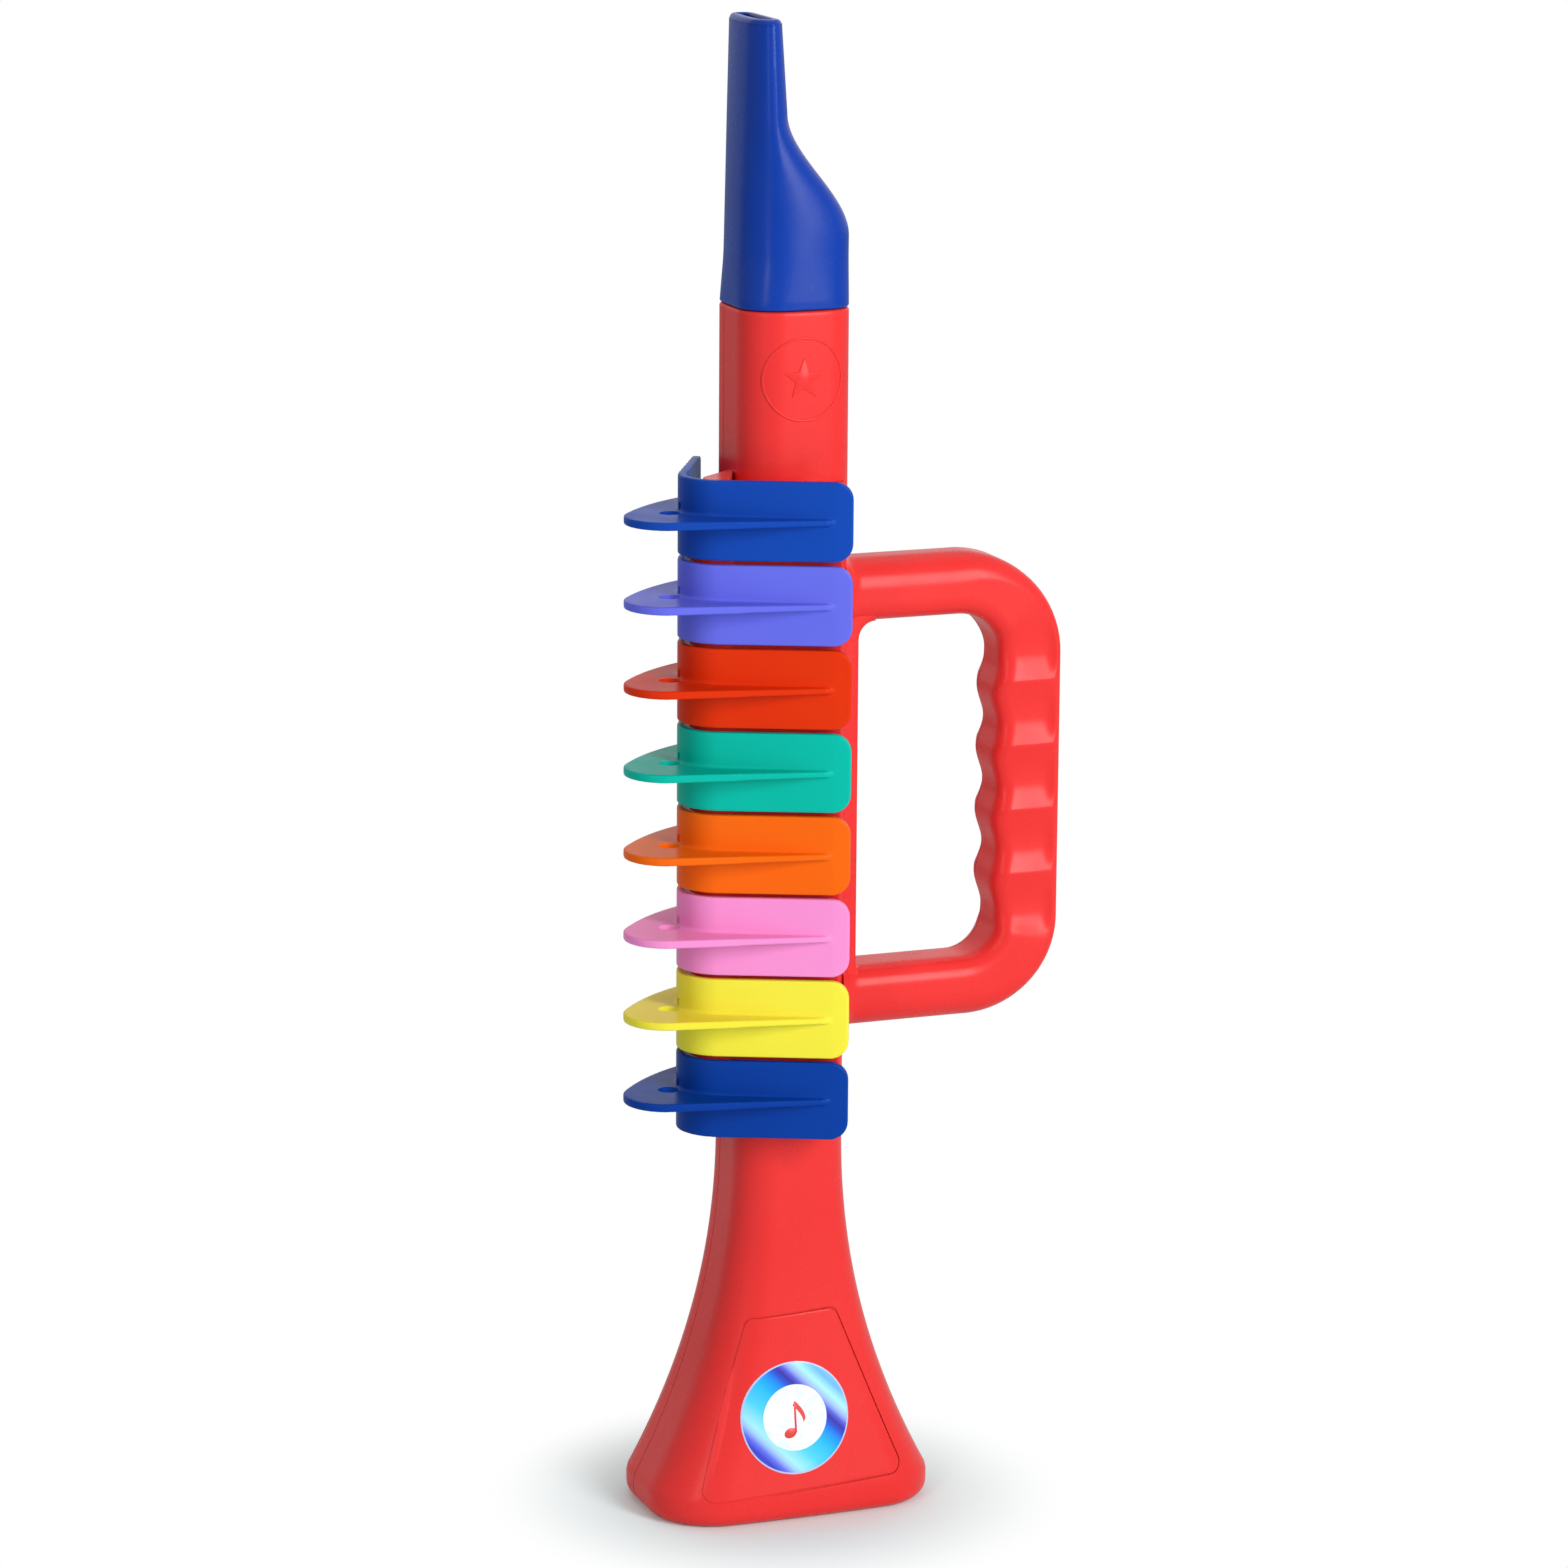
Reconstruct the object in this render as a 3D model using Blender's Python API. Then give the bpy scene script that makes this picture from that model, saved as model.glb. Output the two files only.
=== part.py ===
"""Toy trumpet with eight coloured keys, standing on its bell.

A two-part moulded body carries the bell and a D-shaped hand grip. A mouthpiece plugs into its
top. Eight bent keys turn on one steel rod beside the body and hold rubber pads on eight air holes.
Lengths are in metres through MM, +Z is up, and the bore's axis is vertical.
"""
import math

import bmesh
import bpy
from mathutils import Vector

MM = 0.001

# Clearances shared by the whole part
GAP = 0.3 * MM
RUNNING_GAP = 0.35 * MM
OVERRUN = 2.0 * MM
MERGE_DISTANCE = 0.01 * MM

# Body tube, a rounded rectangle in plan
BODY_HALF_X = 15.6 * MM
BODY_HALF_Y = 15.5 * MM
BODY_CORNER = 7.5 * MM
BODY_TOP_Z = 341.5 * MM
BODY_EDGE = 0.8 * MM
WALL = 2.2 * MM
PARTING_Y = 5.0 * MM

# Bell
BELL_HALF_X = 41.3 * MM
BELL_HALF_Y = 25.5 * MM
BELL_CORNER = 16.0 * MM
BELL_START_Z = 108.0 * MM
BELL_LIP_Z = 8.2 * MM
BELL_CURVE_POWER = 2.1
LIP_ROUND = 4.5 * MM
LIP_THICKNESS = 7.0 * MM
INNER_CORNER_SHARE = 0.3

# Raised panel on the bell's front and the foil disc on it
PANEL_LOW_Z = 9.5 * MM
PANEL_HIGH_Z = 59.0 * MM
PANEL_LOW_WIDTH = 61.2 * MM
PANEL_HIGH_WIDTH = 25.6 * MM
PANEL_LOW_X = -1.0 * MM
PANEL_HIGH_X = -2.5 * MM
PANEL_SLANT_SHARE = 0.05
PANEL_RISE = 0.7 * MM
PANEL_CORNER = 3.0 * MM
DISC_RADIUS = 16.0 * MM
DISC_THICKNESS = 0.4 * MM
DISC_X = -2.8 * MM
DISC_Z = 29.8 * MM

# Mouthpiece
MOUTH_HEIGHT = 78.5 * MM
MOUTH_TOP_Z = BODY_TOP_Z + MOUTH_HEIGHT
SCOOP_HIGH_SHARE = 0.678
SCOOP_LOW_SHARE = 0.246
MOUTH_SCOOP_HIGH_Z = BODY_TOP_Z + MOUTH_HEIGHT * SCOOP_HIGH_SHARE
MOUTH_SCOOP_LOW_Z = BODY_TOP_Z + MOUTH_HEIGHT * SCOOP_LOW_SHARE
LIP_LEFT_X = -13.9 * MM
LIP_RIGHT_X = -4.6 * MM
LIP_RIGHT_LOW_X = -2.7 * MM
LIP_HALF_Y = 13.2 * MM
LIP_CORNER = 4.2 * MM
MOUTH_EDGE = 1.8 * MM
MOUTH_WALL = 2.1 * MM
SPIGOT_LENGTH = 8.0 * MM
SPIGOT_WALL = 1.6 * MM

# D-shaped hand grip, in the body's middle plane
GRIP_REACH = 80.6 * MM
GRIP_TOP_Z = 270.5 * MM
GRIP_BOTTOM_Z = 137.3 * MM
GRIP_BAR_X = 17.8 * MM
GRIP_ARM_Z = 17.4 * MM
GRIP_THICKNESS = 20.0 * MM
GRIP_EDGE = 5.0 * MM
GRIP_OUTER_TOP_ROUND = 29.0 * MM
GRIP_OUTER_LOW_ROUND = 26.0 * MM
GRIP_INNER_TOP_ROUND = 10.0 * MM
GRIP_INNER_LOW_ROUND = 11.8 * MM
GRIP_ROOT_ROUND = 4.0 * MM
GRIP_STRIP = 4.8 * MM
FINGER_PITCH = 18.0 * MM
FINGER_RISE = 1.9 * MM
FINGER_COUNT = 4
FINGER_MIDDLE_Z = 203.0 * MM
GRIP_WALL = 3.0 * MM

# Keys, an L in plan: a plate in front of the body and a leg beside it
KEY_COUNT = 8
KEY_PITCH = 23.2 * MM
KEY_HEIGHT = 22.0 * MM
KEY_TOP_Z = 297.0 * MM
KEY_CORNER_X = -37.2 * MM
KEY_CORNER_Y = -12.7 * MM
PLATE_LENGTH = 49.4 * MM
PLATE_ANGLE = math.radians(-24.0)
LEG_LENGTH = 41.5 * MM
LEG_ANGLE = math.radians(61.7)
KEY_WALL = 2.3 * MM
KEY_ROUND = 12.2 * MM
PLATE_END_ROUND = 5.0 * MM
FIN_THICKNESS = 2.3 * MM
FIN_TIP_ROUND = 11.8 * MM
FIN_TIP_ALONG = -1.2 * MM
FIN_TIP_IN = 1.1 * MM
FIN_RIB_END_SHARE = 0.9
FIN_LEG_SHARE = 0.8
FIN_BULGE_SHARE = 0.49
FIN_BULGE_OUT = 9.7 * MM
FIN_HOLE_RADIUS = 3.0 * MM
FIN_HOLE_ALONG = -0.6 * MM
FIN_HOLE_IN = 4.6 * MM

# Hinge rod, its lugs and the keys' hubs
HINGE_ALONG = 14.0 * MM
HINGE_IN = 7.0 * MM
ROD_RADIUS = 1.2 * MM
HUB_RADIUS = 2.9 * MM
HUB_HEIGHT = 7.0 * MM
WEB_HALF_SHARE = 0.7
LUG_THICKNESS = 2.4 * MM
LUG_INSET = 0.4 * MM
POCKET_CLEARANCE = 1.6 * MM
ROD_COVER = 1.0 * MM

# Valve chest in front of the body, pads and air holes
CHEST_EDGE_Y = 0.3 * MM
CHEST_EDGE_ANGLE = math.radians(219.6)
CHEST_CORNER = 3.0 * MM
CHEST_END_SETBACK = 2.5 * MM
CHEST_ROOT_ANGLE = math.radians(-40.0)
PAD_THICKNESS = 1.4 * MM
PAD_RADIUS = 6.5 * MM
PAD_ALONG = 31.5 * MM
AIR_HOLE_RADIUS = 4.0 * MM

# Return springs round the rod
SPRING_WIRE = 0.35 * MM
SPRING_TURNS = 3
SPRING_SIDES = 8
SPRING_RISE_SHARE = 0.6
SPRING_TAIL = 2.6 * MM

# Reed plate and reeds inside the body
REED_PLATE_THICKNESS = 2.0 * MM
REED_PLATE_DEPTH = 3.2 * MM
REED_LONGEST = 16.0 * MM
REED_STEP = 1.0 * MM
REED_WIDTH = 3.2 * MM
REED_THICKNESS = 0.4 * MM
REED_SLOT_MARGIN = 0.4 * MM
REED_FOOT = 4.0 * MM

# Counts of faces on rounds
CORNER_STEPS = 4
ROUND_STEPS = 5
CIRCLE_SIDES = 16
HOLE_SIDES = 14
RIM_STEPS = 4
BEND_STEPS = 9
TAB_STEPS = 10
FLARE_STEPS = 11
WAVE_STEPS = 6
SCOOP_STEPS = 8


def clear_scene():
    for item in list(bpy.data.objects):
        bpy.data.objects.remove(item)


def material(name, rgb, roughness, metallic=0.0):
    made = bpy.data.materials.new(name)
    made.use_nodes = True
    shader = made.node_tree.nodes["Principled BSDF"]
    shader.inputs["Base Color"].default_value = (*rgb, 1.0)
    shader.inputs["Roughness"].default_value = roughness
    shader.inputs["Metallic"].default_value = metallic
    return made


def new_object(name, bm, axis, finish=None):
    """Close a bmesh into a named object that stands on the bore's axis."""
    bmesh.ops.remove_doubles(bm, verts=bm.verts, dist=MERGE_DISTANCE)
    bmesh.ops.recalc_face_normals(bm, faces=bm.faces)
    mesh = bpy.data.meshes.new(name)
    bm.to_mesh(mesh)
    bm.free()
    made = bpy.data.objects.new(name, mesh)
    bpy.context.scene.collection.objects.link(made)
    made.parent = axis
    if finish is not None:
        mesh.materials.append(finish)
    return made


def as_cutter(made):
    made.hide_render = True
    made.display_type = "WIRE"
    return made


def boolean(target, tool, operation):
    step = target.modifiers.new(tool.name, "BOOLEAN")
    step.operation = operation
    step.object = tool
    step.solver = "EXACT"


def loft(bm, rings):
    """Skin rings of equal point counts and cap both ends."""
    made = [[bm.verts.new(p) for p in ring] for ring in rings]
    count = len(made[0])
    for low, high in zip(made, made[1:]):
        for k in range(count):
            n = (k + 1) % count
            bm.faces.new((low[k], low[n], high[n], high[k]))
    bm.faces.new(list(reversed(made[0])))
    bm.faces.new(made[-1])


def prism(bm, outline, low, high, place=lambda x, y, z: (x, y, z)):
    loft(bm, [[place(x, y, z) for x, y in outline] for z in (low, high)])


def arc(cx, cy, radius, start, end, steps):
    return [(cx + radius * math.cos(start + (end - start) * k / steps),
             cy + radius * math.sin(start + (end - start) * k / steps)) for k in range(steps + 1)]


def circle(cx, cy, radius, sides=CIRCLE_SIDES):
    return arc(cx, cy, radius, 0, 2 * math.pi, sides)[:-1]


def rounded_box(left, right, front, back, radius):
    """Rounded rectangle in plan, counter-clockwise from its right side."""
    quarter = math.pi / 2
    places = ((right - radius, back - radius), (left + radius, back - radius),
              (left + radius, front + radius), (right - radius, front + radius))
    points = []
    for k, (cx, cy) in enumerate(places):
        points += arc(cx, cy, radius, k * quarter, (k + 1) * quarter, CORNER_STEPS)
    return points


def rounded_polygon(corners):
    """Outline through (x, y, radius) corners, each turned into an arc."""
    points = []
    for k, (x, y, radius) in enumerate(corners):
        here = Vector((x, y))
        back = (Vector(corners[k - 1][:2]) - here).normalized()
        ahead = (Vector(corners[(k + 1) % len(corners)][:2]) - here).normalized()
        if radius == 0:
            points.append((x, y))
            continue
        half = back.angle(ahead) / 2
        middle = here + (back + ahead).normalized() * radius / math.sin(half)
        start = here + back * radius / math.tan(half) - middle
        end = here + ahead * radius / math.tan(half) - middle
        first = math.atan2(start.y, start.x)
        turn = (math.atan2(end.y, end.x) - first + math.pi) % (2 * math.pi) - math.pi
        points += arc(middle.x, middle.y, radius, first, first + turn, ROUND_STEPS)
    return points


# Body and bell
def bell_share(z):
    span = BELL_START_Z - BELL_LIP_Z
    return min(1.0, max(0.0, (BELL_START_Z - z) / span)) ** BELL_CURVE_POWER


def half_sizes(z):
    share = bell_share(z)
    return (BODY_HALF_X + (BELL_HALF_X - BODY_HALF_X) * share,
            BODY_HALF_Y + (BELL_HALF_Y - BODY_HALF_Y) * share,
            BODY_CORNER + (BELL_CORNER - BODY_CORNER) * share)


def body_ring(z, inset):
    half_x, half_y, corner = half_sizes(z)
    radius = max(corner - inset, corner * INNER_CORNER_SHARE)
    flat = rounded_box(inset - half_x, half_x - inset, inset - half_y, half_y - inset, radius)
    return [(x, y, z) for x, y in flat]


def lip_inset(z):
    rise = max(0.0, LIP_ROUND - z)
    return LIP_ROUND - math.sqrt(LIP_ROUND ** 2 - rise ** 2)


def body_levels():
    lip = [LIP_ROUND * (1 - math.cos(math.pi / 2 * k / RIM_STEPS)) for k in range(RIM_STEPS + 1)]
    flare = [BELL_LIP_Z + (BELL_START_Z - BELL_LIP_Z) * k / FLARE_STEPS for k in range(FLARE_STEPS + 1)]
    return lip + flare


def outer_body(axis, name):
    bm = bmesh.new()
    rings = [body_ring(z, lip_inset(z)) for z in body_levels()]
    rings.append(body_ring(BODY_TOP_Z - BODY_EDGE, 0))
    rings.append(body_ring(BODY_TOP_Z, BODY_EDGE))
    loft(bm, rings)
    return new_object(name, bm, axis)


def body_cavity(axis):
    bm = bmesh.new()
    lip_top = BELL_LIP_Z + LIP_THICKNESS - WALL
    rings = [body_ring(-OVERRUN, LIP_THICKNESS), body_ring(LIP_ROUND, LIP_THICKNESS)]
    rings += [body_ring(z, WALL) for z in body_levels() if z > lip_top]
    rings.append(body_ring(BODY_TOP_Z + OVERRUN, WALL))
    loft(bm, rings)
    return as_cutter(new_object("body_cavity", bm, axis))


def bell_front(z):
    """Depth of the bell's front face at a height, and the panel's flat chord through it."""
    return -half_sizes(z)[1]


def panel_frame():
    low = Vector((0, bell_front(PANEL_LOW_Z), PANEL_LOW_Z))
    high = Vector((0, bell_front(PANEL_HIGH_Z), PANEL_HIGH_Z))
    up = (high - low).normalized()
    out = Vector((0, -up.z, up.y))
    return low, high, up, out


def panel(axis):
    """Trapezium on the bell's front, a little proud of it; its low and high edges climb to the right."""
    low, high, up, out = panel_frame()
    length = (high - low).length
    sides = [(PANEL_LOW_X - PANEL_LOW_WIDTH / 2, 0), (PANEL_LOW_X + PANEL_LOW_WIDTH / 2, 0),
             (PANEL_HIGH_X + PANEL_HIGH_WIDTH / 2, length), (PANEL_HIGH_X - PANEL_HIGH_WIDTH / 2, length)]
    outline = rounded_polygon([(x, y + PANEL_SLANT_SHARE * x, PANEL_CORNER) for x, y in sides])
    bm = bmesh.new()
    prism(bm, outline, -WALL, PANEL_RISE, lambda x, y, z: low + Vector((x, 0, 0)) + up * y + out * z)
    return as_cutter(new_object("bell_panel", bm, axis))


def label_disc(axis, finish):
    low, _, up, out = panel_frame()
    climb = (DISC_Z - PANEL_LOW_Z) / up.z
    bm = bmesh.new()
    seat = PANEL_RISE + GAP
    prism(bm, circle(DISC_X, climb, DISC_RADIUS, CIRCLE_SIDES * 2), seat, seat + DISC_THICKNESS,
          lambda x, y, z: low + Vector((x, 0, 0)) + up * y + out * z)
    return new_object("label_disc", bm, axis, finish)


# Hand grip
def pillow(bm, outline, half, edge, grow):
    """Extrude an outline along Y with rounded rims, shrinking or growing by the edge radius."""
    count = len(outline)
    normals = []
    for k, point in enumerate(outline):
        here = Vector(point)
        before = (here - Vector(outline[k - 1])).normalized()
        after = (Vector(outline[(k + 1) % count]) - here).normalized()
        sides = [Vector((along.y, -along.x)) for along in (before, after)]
        normals.append((sides[0] + sides[1]) / (1 + sides[0].dot(sides[1])))
    rim = [math.pi / 2 * k / RIM_STEPS for k in range(RIM_STEPS + 1)]
    layers = [(-half + edge * (1 - math.cos(a)), 1 - math.sin(a)) for a in rim]
    layers += [(half - edge * (1 - math.cos(a)), 1 - math.sin(a)) for a in reversed(rim)]
    if grow > 0:
        layers = [(-half - OVERRUN, 1.0)] + layers + [(half + OVERRUN, 1.0)]
    rings = []
    for y, share in layers:
        move = edge * share * grow
        rings.append([(x + n.x * move, y, z + n.y * move) for (x, z), n in zip(outline, normals)])
    loft(bm, rings)


def grip_outer_outline(root, inset):
    """Counter-clockwise in X and Z from the body's side."""
    right = GRIP_REACH - inset
    low = GRIP_BOTTOM_Z + inset
    top = GRIP_TOP_Z - inset
    return rounded_polygon((
        (root, low, 0), (right, low, GRIP_OUTER_LOW_ROUND - inset),
        (right, top, GRIP_OUTER_TOP_ROUND - inset), (root, top - GRIP_EDGE / 4, 0)))


def finger_edge(z, x, rise):
    """Inner edge of the bar: crests between four finger hollows."""
    span = FINGER_PITCH * FINGER_COUNT / 2
    near = abs(z - FINGER_MIDDLE_Z)
    if near > span:
        return x
    wave = 0.5 - 0.5 * math.cos(2 * math.pi * (z - FINGER_MIDDLE_Z + span) / FINGER_PITCH)
    return x - rise * wave


def grip_hole_outline(outset):
    """Finger opening, counter-clockwise, with the crests on its right side."""
    left = BODY_HALF_X + GRIP_STRIP - outset
    right = GRIP_REACH - GRIP_BAR_X + outset
    low = GRIP_BOTTOM_Z + GRIP_ARM_Z - outset
    top = GRIP_TOP_Z - GRIP_ARM_Z + outset
    corners = rounded_polygon((
        (left, low, GRIP_ROOT_ROUND / 2), (right, low, GRIP_INNER_LOW_ROUND),
        (right, top, GRIP_INNER_TOP_ROUND), (left, top - GRIP_EDGE / 4, GRIP_ROOT_ROUND)))
    span = FINGER_PITCH * FINGER_COUNT / 2
    steps = FINGER_COUNT * WAVE_STEPS
    first = 2 * (ROUND_STEPS + 1)
    wave = []
    for k in range(steps + 1):
        z = FINGER_MIDDLE_Z - span + 2 * span * k / steps
        wave.append((finger_edge(z, right, FINGER_RISE), z))
    return corners[:first] + wave + corners[first:]


def grip_solid(axis):
    bm = bmesh.new()
    pillow(bm, grip_outer_outline(BODY_HALF_X - WALL, 0), GRIP_THICKNESS / 2, GRIP_EDGE, -1)
    return as_cutter(new_object("grip_solid", bm, axis))


def grip_hole(axis):
    bm = bmesh.new()
    pillow(bm, grip_hole_outline(0), GRIP_THICKNESS / 2, GRIP_EDGE, 1)
    return as_cutter(new_object("grip_hole", bm, axis))


def grip_channel(axis):
    """Hollow inside the grip's wall, open where the two shells part."""
    bm = bmesh.new()
    edge = GRIP_EDGE - GRIP_WALL
    pillow(bm, grip_outer_outline(BODY_HALF_X, GRIP_WALL), GRIP_THICKNESS / 2 - GRIP_WALL, edge, -1)
    made = as_cutter(new_object("grip_channel", bm, axis))
    core = bmesh.new()
    pillow(core, grip_hole_outline(GRIP_WALL), GRIP_THICKNESS / 2 - GRIP_WALL, edge, 1)
    boolean(made, as_cutter(new_object("grip_channel_core", core, axis)), "DIFFERENCE")
    return made


# Key plan, shared by the keys, their pads, the chest and the rod
def along_plate(along, inward):
    """Plan point at a distance along the plate and inward from its outer face."""
    x = KEY_CORNER_X + along * math.cos(PLATE_ANGLE) - inward * math.sin(PLATE_ANGLE)
    y = KEY_CORNER_Y + along * math.sin(PLATE_ANGLE) + inward * math.cos(PLATE_ANGLE)
    return x, y


def along_leg(along, inward):
    x = KEY_CORNER_X + along * math.cos(LEG_ANGLE) + inward * math.sin(LEG_ANGLE)
    y = KEY_CORNER_Y + along * math.sin(LEG_ANGLE) - inward * math.cos(LEG_ANGLE)
    return x, y


HINGE = along_plate(HINGE_ALONG, HINGE_IN)
CHEST_FRONT_IN = KEY_WALL + GAP + PAD_THICKNESS + GAP


def key_middle(index):
    return KEY_TOP_Z - KEY_HEIGHT / 2 - KEY_PITCH * index


def key_bend():
    """Centre of the outer corner's arc, and how far from the corner it starts."""
    reach = KEY_ROUND / math.tan((LEG_ANGLE - PLATE_ANGLE) / 2)
    return Vector(along_plate(reach, KEY_ROUND)), reach


def key_stations():
    """Outer and inner plan points with the height left at each, from tail to leg end."""
    turn = LEG_ANGLE - PLATE_ANGLE
    middle, reach = key_bend()
    stations = []
    half = KEY_HEIGHT / 2
    for k in range(ROUND_STEPS + 1):
        angle = math.pi / 2 * k / ROUND_STEPS
        back = PLATE_LENGTH - PLATE_END_ROUND * (1 - math.cos(angle))
        drop = PLATE_END_ROUND * (1 - math.sin(angle))
        stations.append((along_plate(back, 0), along_plate(back, KEY_WALL), half - drop))
    first = PLATE_ANGLE - math.pi / 2
    for k in range(BEND_STEPS + 1):
        angle = first - (math.pi - turn) * k / BEND_STEPS
        ray = Vector((math.cos(angle), math.sin(angle)))
        outer = middle + ray * KEY_ROUND
        inner = middle + ray * (KEY_ROUND - KEY_WALL)
        stations.append((tuple(outer), tuple(inner), half))
    for along, height in ((LEG_LENGTH - KEY_WALL, half), (LEG_LENGTH, half - KEY_WALL / 2)):
        stations.append((along_leg(along, 0), along_leg(along, KEY_WALL), height))
    return stations


def key_strip(bm, middle_z):
    rings = []
    for outer, inner, half in key_stations():
        rings.append([(*outer, middle_z - half), (*inner, middle_z - half),
                      (*inner, middle_z + half), (*outer, middle_z + half)])
    loft(bm, rings)


def fin_outline():
    """Finger tab: rounded tip, a rib down the plate and a bulging far edge to the leg."""
    tip = Vector(along_plate(FIN_TIP_ALONG, FIN_TIP_IN))
    rib_end = Vector(along_plate(PLATE_LENGTH * FIN_RIB_END_SHARE, 0))
    rib_root = along_plate(PLATE_LENGTH * FIN_RIB_END_SHARE, KEY_WALL / 2)
    far_end = Vector(along_leg(LEG_LENGTH * FIN_LEG_SHARE, 0))
    far_root = along_leg(LEG_LENGTH * FIN_LEG_SHARE, KEY_WALL / 2)
    bulge = Vector(along_leg(LEG_LENGTH * FIN_BULGE_SHARE, -FIN_BULGE_OUT))
    middle, _ = key_bend()

    def tangent(point, side):
        line = tip - point
        lean = math.asin(FIN_TIP_ROUND / line.length)
        heading = math.atan2(line.y, line.x) + side * lean
        return heading + side * math.pi / 2

    start = tangent(rib_end, 1)
    sweep = (start - tangent(bulge, -1)) % (2 * math.pi)
    points = [tuple(rib_end)] + arc(tip.x, tip.y, FIN_TIP_ROUND, start, start - sweep, TAB_STEPS)
    leave = Vector(points[-1])
    for k in range(1, ROUND_STEPS + 1):
        t = k / ROUND_STEPS
        points.append(tuple(leave * (1 - t) ** 2 + bulge * (2 * t * (1 - t)) + far_end * t ** 2))
    root = arc(middle.x, middle.y, KEY_ROUND - KEY_WALL / 2,
               LEG_ANGLE + math.pi / 2, PLATE_ANGLE + math.pi * 3 / 2, CORNER_STEPS)
    return points + [far_root] + root + [rib_root]


def key(index, axis, finish):
    """One key: L-shaped wall, finger tab with its hole, and the hub that turns on the rod."""
    name = "key_%d" % (index + 1)
    middle_z = key_middle(index)
    pivot = bpy.data.objects.new(name + "_pivot", None)
    bpy.context.scene.collection.objects.link(pivot)
    pivot.parent = axis
    pivot.location = (*HINGE, middle_z)

    def local(bm):
        bmesh.ops.translate(bm, verts=bm.verts, vec=(-HINGE[0], -HINGE[1], -middle_z))
        return bm

    wall = bmesh.new()
    key_strip(wall, middle_z)
    made = new_object(name, local(wall), pivot, finish)

    fin = bmesh.new()
    prism(fin, fin_outline(), middle_z - FIN_THICKNESS / 2, middle_z + FIN_THICKNESS / 2)
    fin_tool = as_cutter(new_object(name + "_fin", local(fin), pivot))
    boolean(made, fin_tool, "UNION")

    hub = bmesh.new()
    prism(hub, circle(*HINGE, HUB_RADIUS), middle_z - HUB_HEIGHT / 2, middle_z + HUB_HEIGHT / 2)
    hub_tool = as_cutter(new_object(name + "_hub", local(hub), pivot))
    web = bmesh.new()
    web_low = HINGE_ALONG - HUB_RADIUS * WEB_HALF_SHARE
    web_high = HINGE_ALONG + HUB_RADIUS * WEB_HALF_SHARE
    web_plan = [along_plate(web_low, KEY_WALL / 2), along_plate(web_high, KEY_WALL / 2),
                along_plate(web_high, HINGE_IN), along_plate(web_low, HINGE_IN)]
    prism(web, web_plan, middle_z - HUB_HEIGHT / 2 + GAP, middle_z + HUB_HEIGHT / 2 - GAP)
    web_tool = as_cutter(new_object(name + "_web", local(web), pivot))
    boolean(made, web_tool, "UNION")
    boolean(made, hub_tool, "UNION")

    bore = bmesh.new()
    prism(bore, circle(*HINGE, ROD_RADIUS + RUNNING_GAP), middle_z - HUB_HEIGHT, middle_z + HUB_HEIGHT)
    bore_tool = as_cutter(new_object(name + "_bore", local(bore), pivot))
    boolean(made, bore_tool, "DIFFERENCE")

    eye = bmesh.new()
    eye_plan = circle(*along_plate(FIN_HOLE_ALONG, FIN_HOLE_IN), FIN_HOLE_RADIUS, HOLE_SIDES)
    prism(eye, eye_plan, middle_z - FIN_THICKNESS, middle_z + FIN_THICKNESS)
    eye_tool = as_cutter(new_object(name + "_eye", local(eye), pivot))
    boolean(made, eye_tool, "DIFFERENCE")
    return pivot


def key_pad(index, pivot, finish):
    """Soft disc behind the plate that closes the key's air hole."""
    middle_z = key_middle(index)
    bm = bmesh.new()

    def place(x, y, z):
        px, py = along_plate(PAD_ALONG + x, KEY_WALL + GAP + z)
        return px - HINGE[0], py - HINGE[1], y

    prism(bm, circle(0, 0, PAD_RADIUS), 0, PAD_THICKNESS, place)
    return new_object("key_pad_%d" % (index + 1), bm, pivot, finish)


def lug_levels():
    """Low and high faces of the nine lugs that carry the rod, top to bottom."""
    between = KEY_PITCH - KEY_HEIGHT
    levels = [(KEY_TOP_Z - LUG_INSET - LUG_THICKNESS, KEY_TOP_Z - LUG_INSET)]
    for k in range(1, KEY_COUNT):
        middle = KEY_TOP_Z + between / 2 - KEY_PITCH * k
        levels.append((middle - LUG_THICKNESS / 2, middle + LUG_THICKNESS / 2))
    low = KEY_TOP_Z - KEY_PITCH * (KEY_COUNT - 1) - KEY_HEIGHT + LUG_INSET
    levels.append((low, low + LUG_THICKNESS))
    return levels


def chest_outline():
    """Wedge in front of the body: a slanting left edge, a face behind the plates, a right end."""
    side = Vector((-BODY_HALF_X, CHEST_EDGE_Y))
    heading = Vector((math.cos(CHEST_EDGE_ANGLE), math.sin(CHEST_EDGE_ANGLE)))
    face = Vector(along_plate(0, CHEST_FRONT_IN))
    inward = Vector((-math.sin(PLATE_ANGLE), math.cos(PLATE_ANGLE)))
    meet = side + heading * ((face - side).dot(inward) / heading.dot(inward))
    tail = along_plate(PLATE_LENGTH - CHEST_END_SETBACK, CHEST_FRONT_IN)
    turn = Vector((math.cos(CHEST_ROOT_ANGLE), math.sin(CHEST_ROOT_ANGLE)))
    corner = Vector((BODY_HALF_X - BODY_CORNER, BODY_CORNER - BODY_HALF_Y))
    root = corner + turn * (BODY_CORNER - WALL / 2)
    start = side - heading * (WALL / 2)
    return rounded_polygon(((0, 0, 0), (*start, 0), (*meet, CHEST_CORNER), (*tail, 0), (*root, 0)))


def chest(axis):
    levels = lug_levels()
    bm = bmesh.new()
    prism(bm, chest_outline(), levels[-1][0], levels[0][1])
    return as_cutter(new_object("valve_chest", bm, axis))


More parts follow.
